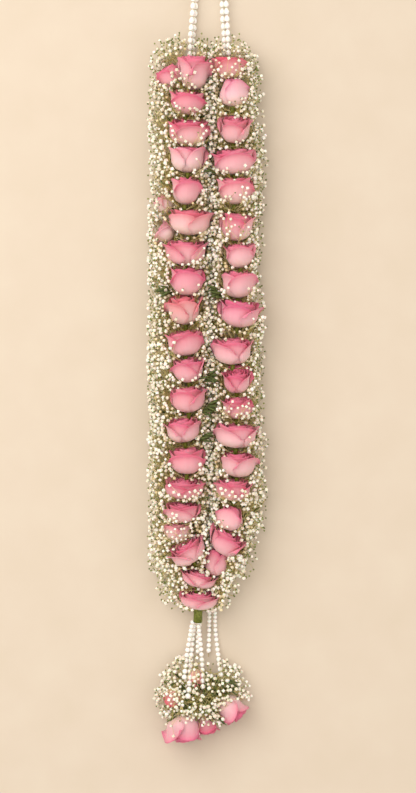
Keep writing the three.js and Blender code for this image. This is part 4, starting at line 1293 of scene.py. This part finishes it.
rose_head = rose_tree()
for number, (node, row) in enumerate(ROSES.items()):
    lean, tilt, turn, openness, curl, point, ruffle, tone, hue, petals = row
    rotation, foot, length, width = HEADS[node]
    stem, stem_radius, tuck = STEMS.get(node, USUAL_STEM)
    foliage = template(node + "_foliage", calyx(
        stem - tuck, stem_radius, 0.105 * width, 0.42 * length, number))
    rose = grown(node.replace("rose", "blown_rose" if petals > 16 else "rosebud"), rose_head, {
        "Width": width, "Length": length, "Turn": math.radians(turn), "Openness": openness, "Curl": curl,
        "Point": point, "Ruffle": ruffle, "Tone": tone, "Hue": hue, "Petals": petals, "Seed": number,
        "Petal Finish": PETAL, "Calyx": foliage, "Calyx Finish": CALYX})
    # the petals are brought to the head's own width and length
    points = rose.data.vertices
    wide = width / (max(v.co.x for v in points) - min(v.co.x for v in points))
    tall = length / max(v.co.y for v in points)
    place = Matrix.Translation(foot) @ rotation.to_4x4()
    rose.data.transform(place @ Matrix.Diagonal((wide, tall, wide, 1.0)))
    low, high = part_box(node)
    if abs(lean) < 45:
        rise = (high.y + TALLER - foot.y) / (max(v.co.y for v in points) - foot.y)
        for v in points:
            v.co.y = foot.y + (v.co.y - foot.y) * rise
    press(points, low.z, high.z)
    belongs(rose, "rose", node)

SPRAYS = spray_tree()
SPRAY_INPUTS = {
    "Floret": template("floret", lathe(
        [(0, -0.44), (0.38, -0.3), (0.5, 0.04), (0.34, 0.36), (0, 0.28)], 8, 0.3), smooth=False),
    "Floret Calyx": template("cup", lathe([(0, -0.66), (0.26, -0.58), (0.34, -0.36), (0, -0.2)], 4)),
    "Inner Floret": template("inner_floret", lathe([(0, -0.42), (0.46, -0.16), (0.4, 0.26), (0, 0.4)], 6)),
    "Bud": template("bud", lathe([(0, -0.5), (0.44, -0.08), (0.3, 0.36), (0, 0.5)], 5)),
    "Leaf": template("leaf", blade([Vector((0, 0.05 * math.sin(3 * t), t)) for t in (0, 0.35, 0.7, 1)],
                                   (0.17, 0.13), 0.03, Vector((1, 0, 0)))),
    "Floret Finish": FLORET_WHITE, "Aged Shaded Finish": FLORET_AGED_AND_SHADED, "Stem Finish": STEM_OLIVE,
    "Leaf Finish": LEAF_GREEN, "Cup Finish": CUP_OLIVE,
}
# How far each leg's florets go, and how many sprigs and loose stems there are to a metre of leg.
SPREAD = {"left": (-0.262, 0.42), "right": (-0.257, 0.42)}
ROPE_REACH = (-0.205, 0.4)
SPRIGS = 1900
UNDER_SPRIGS = 560
WISPS = 520
TOP_WISPS = 80  # in all, past the top of each leg
LEG_SEED, TASSEL_SEED = 100, 7


TURN_DOWN = -0.14  # sprigs point up a leg, and from here to its foot they turn to point down
BETWEEN_LEGS = 0.0025  # a rose rooted left of this belongs to the left leg's baby's breath


def leg_root(y):
    """Where along a leg a sprig is rooted, given where its florets are."""
    return y - 0.028 + 0.048 * min(max((TURN_DOWN - y) / 0.06, 0.0), 1.0)


def leg_sprigs(bush, low, high, outer, side):
    """The sprigs of one stretch of a leg whose outer side is at the angle outer, towards side."""
    draw = bush.draw
    for _ in range(round((high - low) * SPRIGS)):
        y = draw.uniform(low, high)
        choice = draw.random()
        depth, deep, shut = draw.uniform(0.84, 1.02), 0.72, 0.2
        if choice < 0.33:  # the outer shoulder, one layer of florets
            angle = outer + side * math.radians(draw.uniform(30, 84))
            deep, shut = 0.86, draw.choice((0.1, 0.1, 0.5))
        elif choice < 0.39:  # the outer side, where thin budded sprigs reach out
            angle = outer + side * math.radians(draw.uniform(-10, 26))
            depth, deep, shut = draw.uniform(0.86, 1.1), 0.9, draw.choice((0.2, 0.6, 1.0))
        elif choice < 0.92:  # where the legs meet
            angle = math.pi - outer - side * math.radians(draw.uniform(-8, 68))
            depth = draw.uniform(0.88, 1.14)
        else:  # the rest
            angle = math.radians(draw.uniform(10, 170))
        bush.sprig(y, angle, depth, draw.randint(5, 8), deep=deep, shut=shut)
    for _ in range(round((high - low) * UNDER_SPRIGS)):  # under the outer side, down to the board
        angle = outer + side * math.radians(draw.uniform(-62, -8))
        bush.sprig(draw.uniform(low, high), angle, draw.uniform(0.84, 0.98), draw.randint(5, 8), deep=0.86)


def rose_sprigs(bush, part, low, high):
    """The sprigs and leaves over and beside the roses that are rooted in one stretch of a leg."""
    draw = bush.draw
    for node in ROSES:
        foot = HEADS[node][1]
        if not low <= foot.y < high or (foot.x < BETWEEN_LEGS) != (part == "left"):
            continue
        for turn, up, blooms in TUFTS.get(node, []):
            bush.tuft(node, turn, up, blooms)
        if node in LEAVES:
            bush.leaves(node, LEAVES[node])
        for way in (-1, 1, -1, 1):
            bush.tuft(node, way * draw.uniform(45, 92), draw.uniform(0.05, 0.32), draw.randint(3, 6))


def loose_stems(bush, low, high, outer, side, at_top):
    """Thin stems past the outer side of one stretch of a leg, and past its top."""
    draw = bush.draw
    for _ in range(round((high - low) * WISPS)):
        y = draw.uniform(low, high)
        along = 1 if y > TURN_DOWN else -1
        bush.wisp(y, outer + side * math.radians(draw.uniform(-10, 50)), Vector((
            side * draw.uniform(0.003, 0.009), along * draw.uniform(0.001, 0.009), 0.001)))
    for _ in range(TOP_WISPS if at_top else 0):
        bush.wisp(draw.uniform(0.4, 0.419), math.radians(draw.uniform(5, 175)), Vector((
            draw.uniform(-0.006, 0.006), draw.uniform(0.005, 0.014), draw.uniform(-0.002, 0.004))))


for part, (foot_end, neck_end) in SPREAD.items():
    outer, side = (math.pi, -1) if part == "left" else (0.0, 1)
    reach = neck_end - foot_end
    cuts = [foot_end, foot_end + reach / 3, foot_end + reach * 2 / 3, neck_end]
    for k, stretch in enumerate(("lower", "middle", "upper")):
        low, high = cuts[k], cuts[k + 1]
        bush = Bush(part, leg_root, LEG_SEED + 10 * k + len(part))
        bush.filling(max(low, ROPE_REACH[0]), min(high, ROPE_REACH[1]), stems=240, leaves=60)
        leg_sprigs(bush, low, high, outer, side)
        rose_sprigs(bush, part, low, high)
        loose_stems(bush, low, high, outer, side, stretch == "upper")
        bush.piece(f"babys_breath_{part}_{stretch}", "babys_breath_" + part)

# The tassel's sprigs are rooted together at its top, and fan out from there.
bush = Bush("tassel", lambda y: 0.15 * y - 0.314, TASSEL_SEED)
draw = bush.draw
bush.filling(-0.375, -0.345, stems=20, leaves=130)
for _ in range(260):
    y = -0.404 + 0.08 * draw.random() ** 1.3
    bush.sprig(y, math.radians(draw.uniform(-20, 200)), draw.uniform(0.8, 1.0), draw.randint(4, 7),
               spread=1.2, deep=0.9)
for _ in range(90):
    y, angle = draw.uniform(-0.39, -0.345), math.radians(draw.uniform(35, 145))
    place = bush.section(y, angle, draw.uniform(0.5, 0.85))
    facing = Vector((place.x + 0.01, -0.02, 0.004)) + bush.scatter(0.008)
    bush.leaf(place, draw.uniform(0.010, 0.017), facing, 0.3)
for node in ROSES:
    if "tassel" in node:
        for turn, up, blooms in TUFTS.get(node, []):
            bush.tuft(node, turn, up, blooms)
bush.piece("babys_breath_tassel_bunch", "babys_breath_tassel")

laid_rope = rope_tree()
for part in ("left", "right"):
    core = line_object("rope_" + part, smooth_route(
        [Vector((x, y, ROPE_HEIGHT / MM)) * MM for x, y in ROPE_ROUTES[part]], 8))
    rope = grown("cotton_rope_" + part, laid_rope, {
        "Diameter": ROPE_DIAMETER, "Finish": COTTON}, core.data)
    bpy.data.objects.remove(core)
    belongs(rope, "rope", "core_rope_" + part)

for made in TEMPLATES:
    bpy.data.objects.remove(made)


# ---------------------------------------------------------------- floor and light

floor = mesh_object("floor", [(-3, -3, 0), (3, -3, 0), (3, 3, 0), (-3, 3, 0)], [(0, 1, 2, 3)])
floor.data.materials.append(BOARD)


def area_light(name, place, target, size, power, code):
    lamp = bpy.data.lights.new(name, "AREA")
    lamp.size = size
    lamp.energy = power
    lamp.color = colour(code)[:3]
    made = bpy.data.objects.new(name, lamp)
    made.location = place
    made.rotation_euler = (Vector(target) - Vector(place)).to_track_quat("-Z", "Y").to_euler()
    bpy.context.scene.collection.objects.link(made)


area_light("window", (-1.2, 0.9, 1.7), (0, 0, 0), 2.0, 31, "#FFFAF3")
area_light("front", (-0.3, 0.2, 3.1), (0, 0, 0), 1.2, 16, "#FFF9F1")
area_light("fill", (1.6, -0.6, 1.8), (0, 0, 0), 1.6, 7, "#FFF6EA")
world = bpy.data.worlds.new("room")
bpy.context.scene.world = world
world.use_nodes = True
world.node_tree.nodes["Background"].inputs["Color"].default_value = colour("#FFF9F2")
world.node_tree.nodes["Background"].inputs["Strength"].default_value = 0.83
bpy.context.scene.view_settings.view_transform = "Standard"
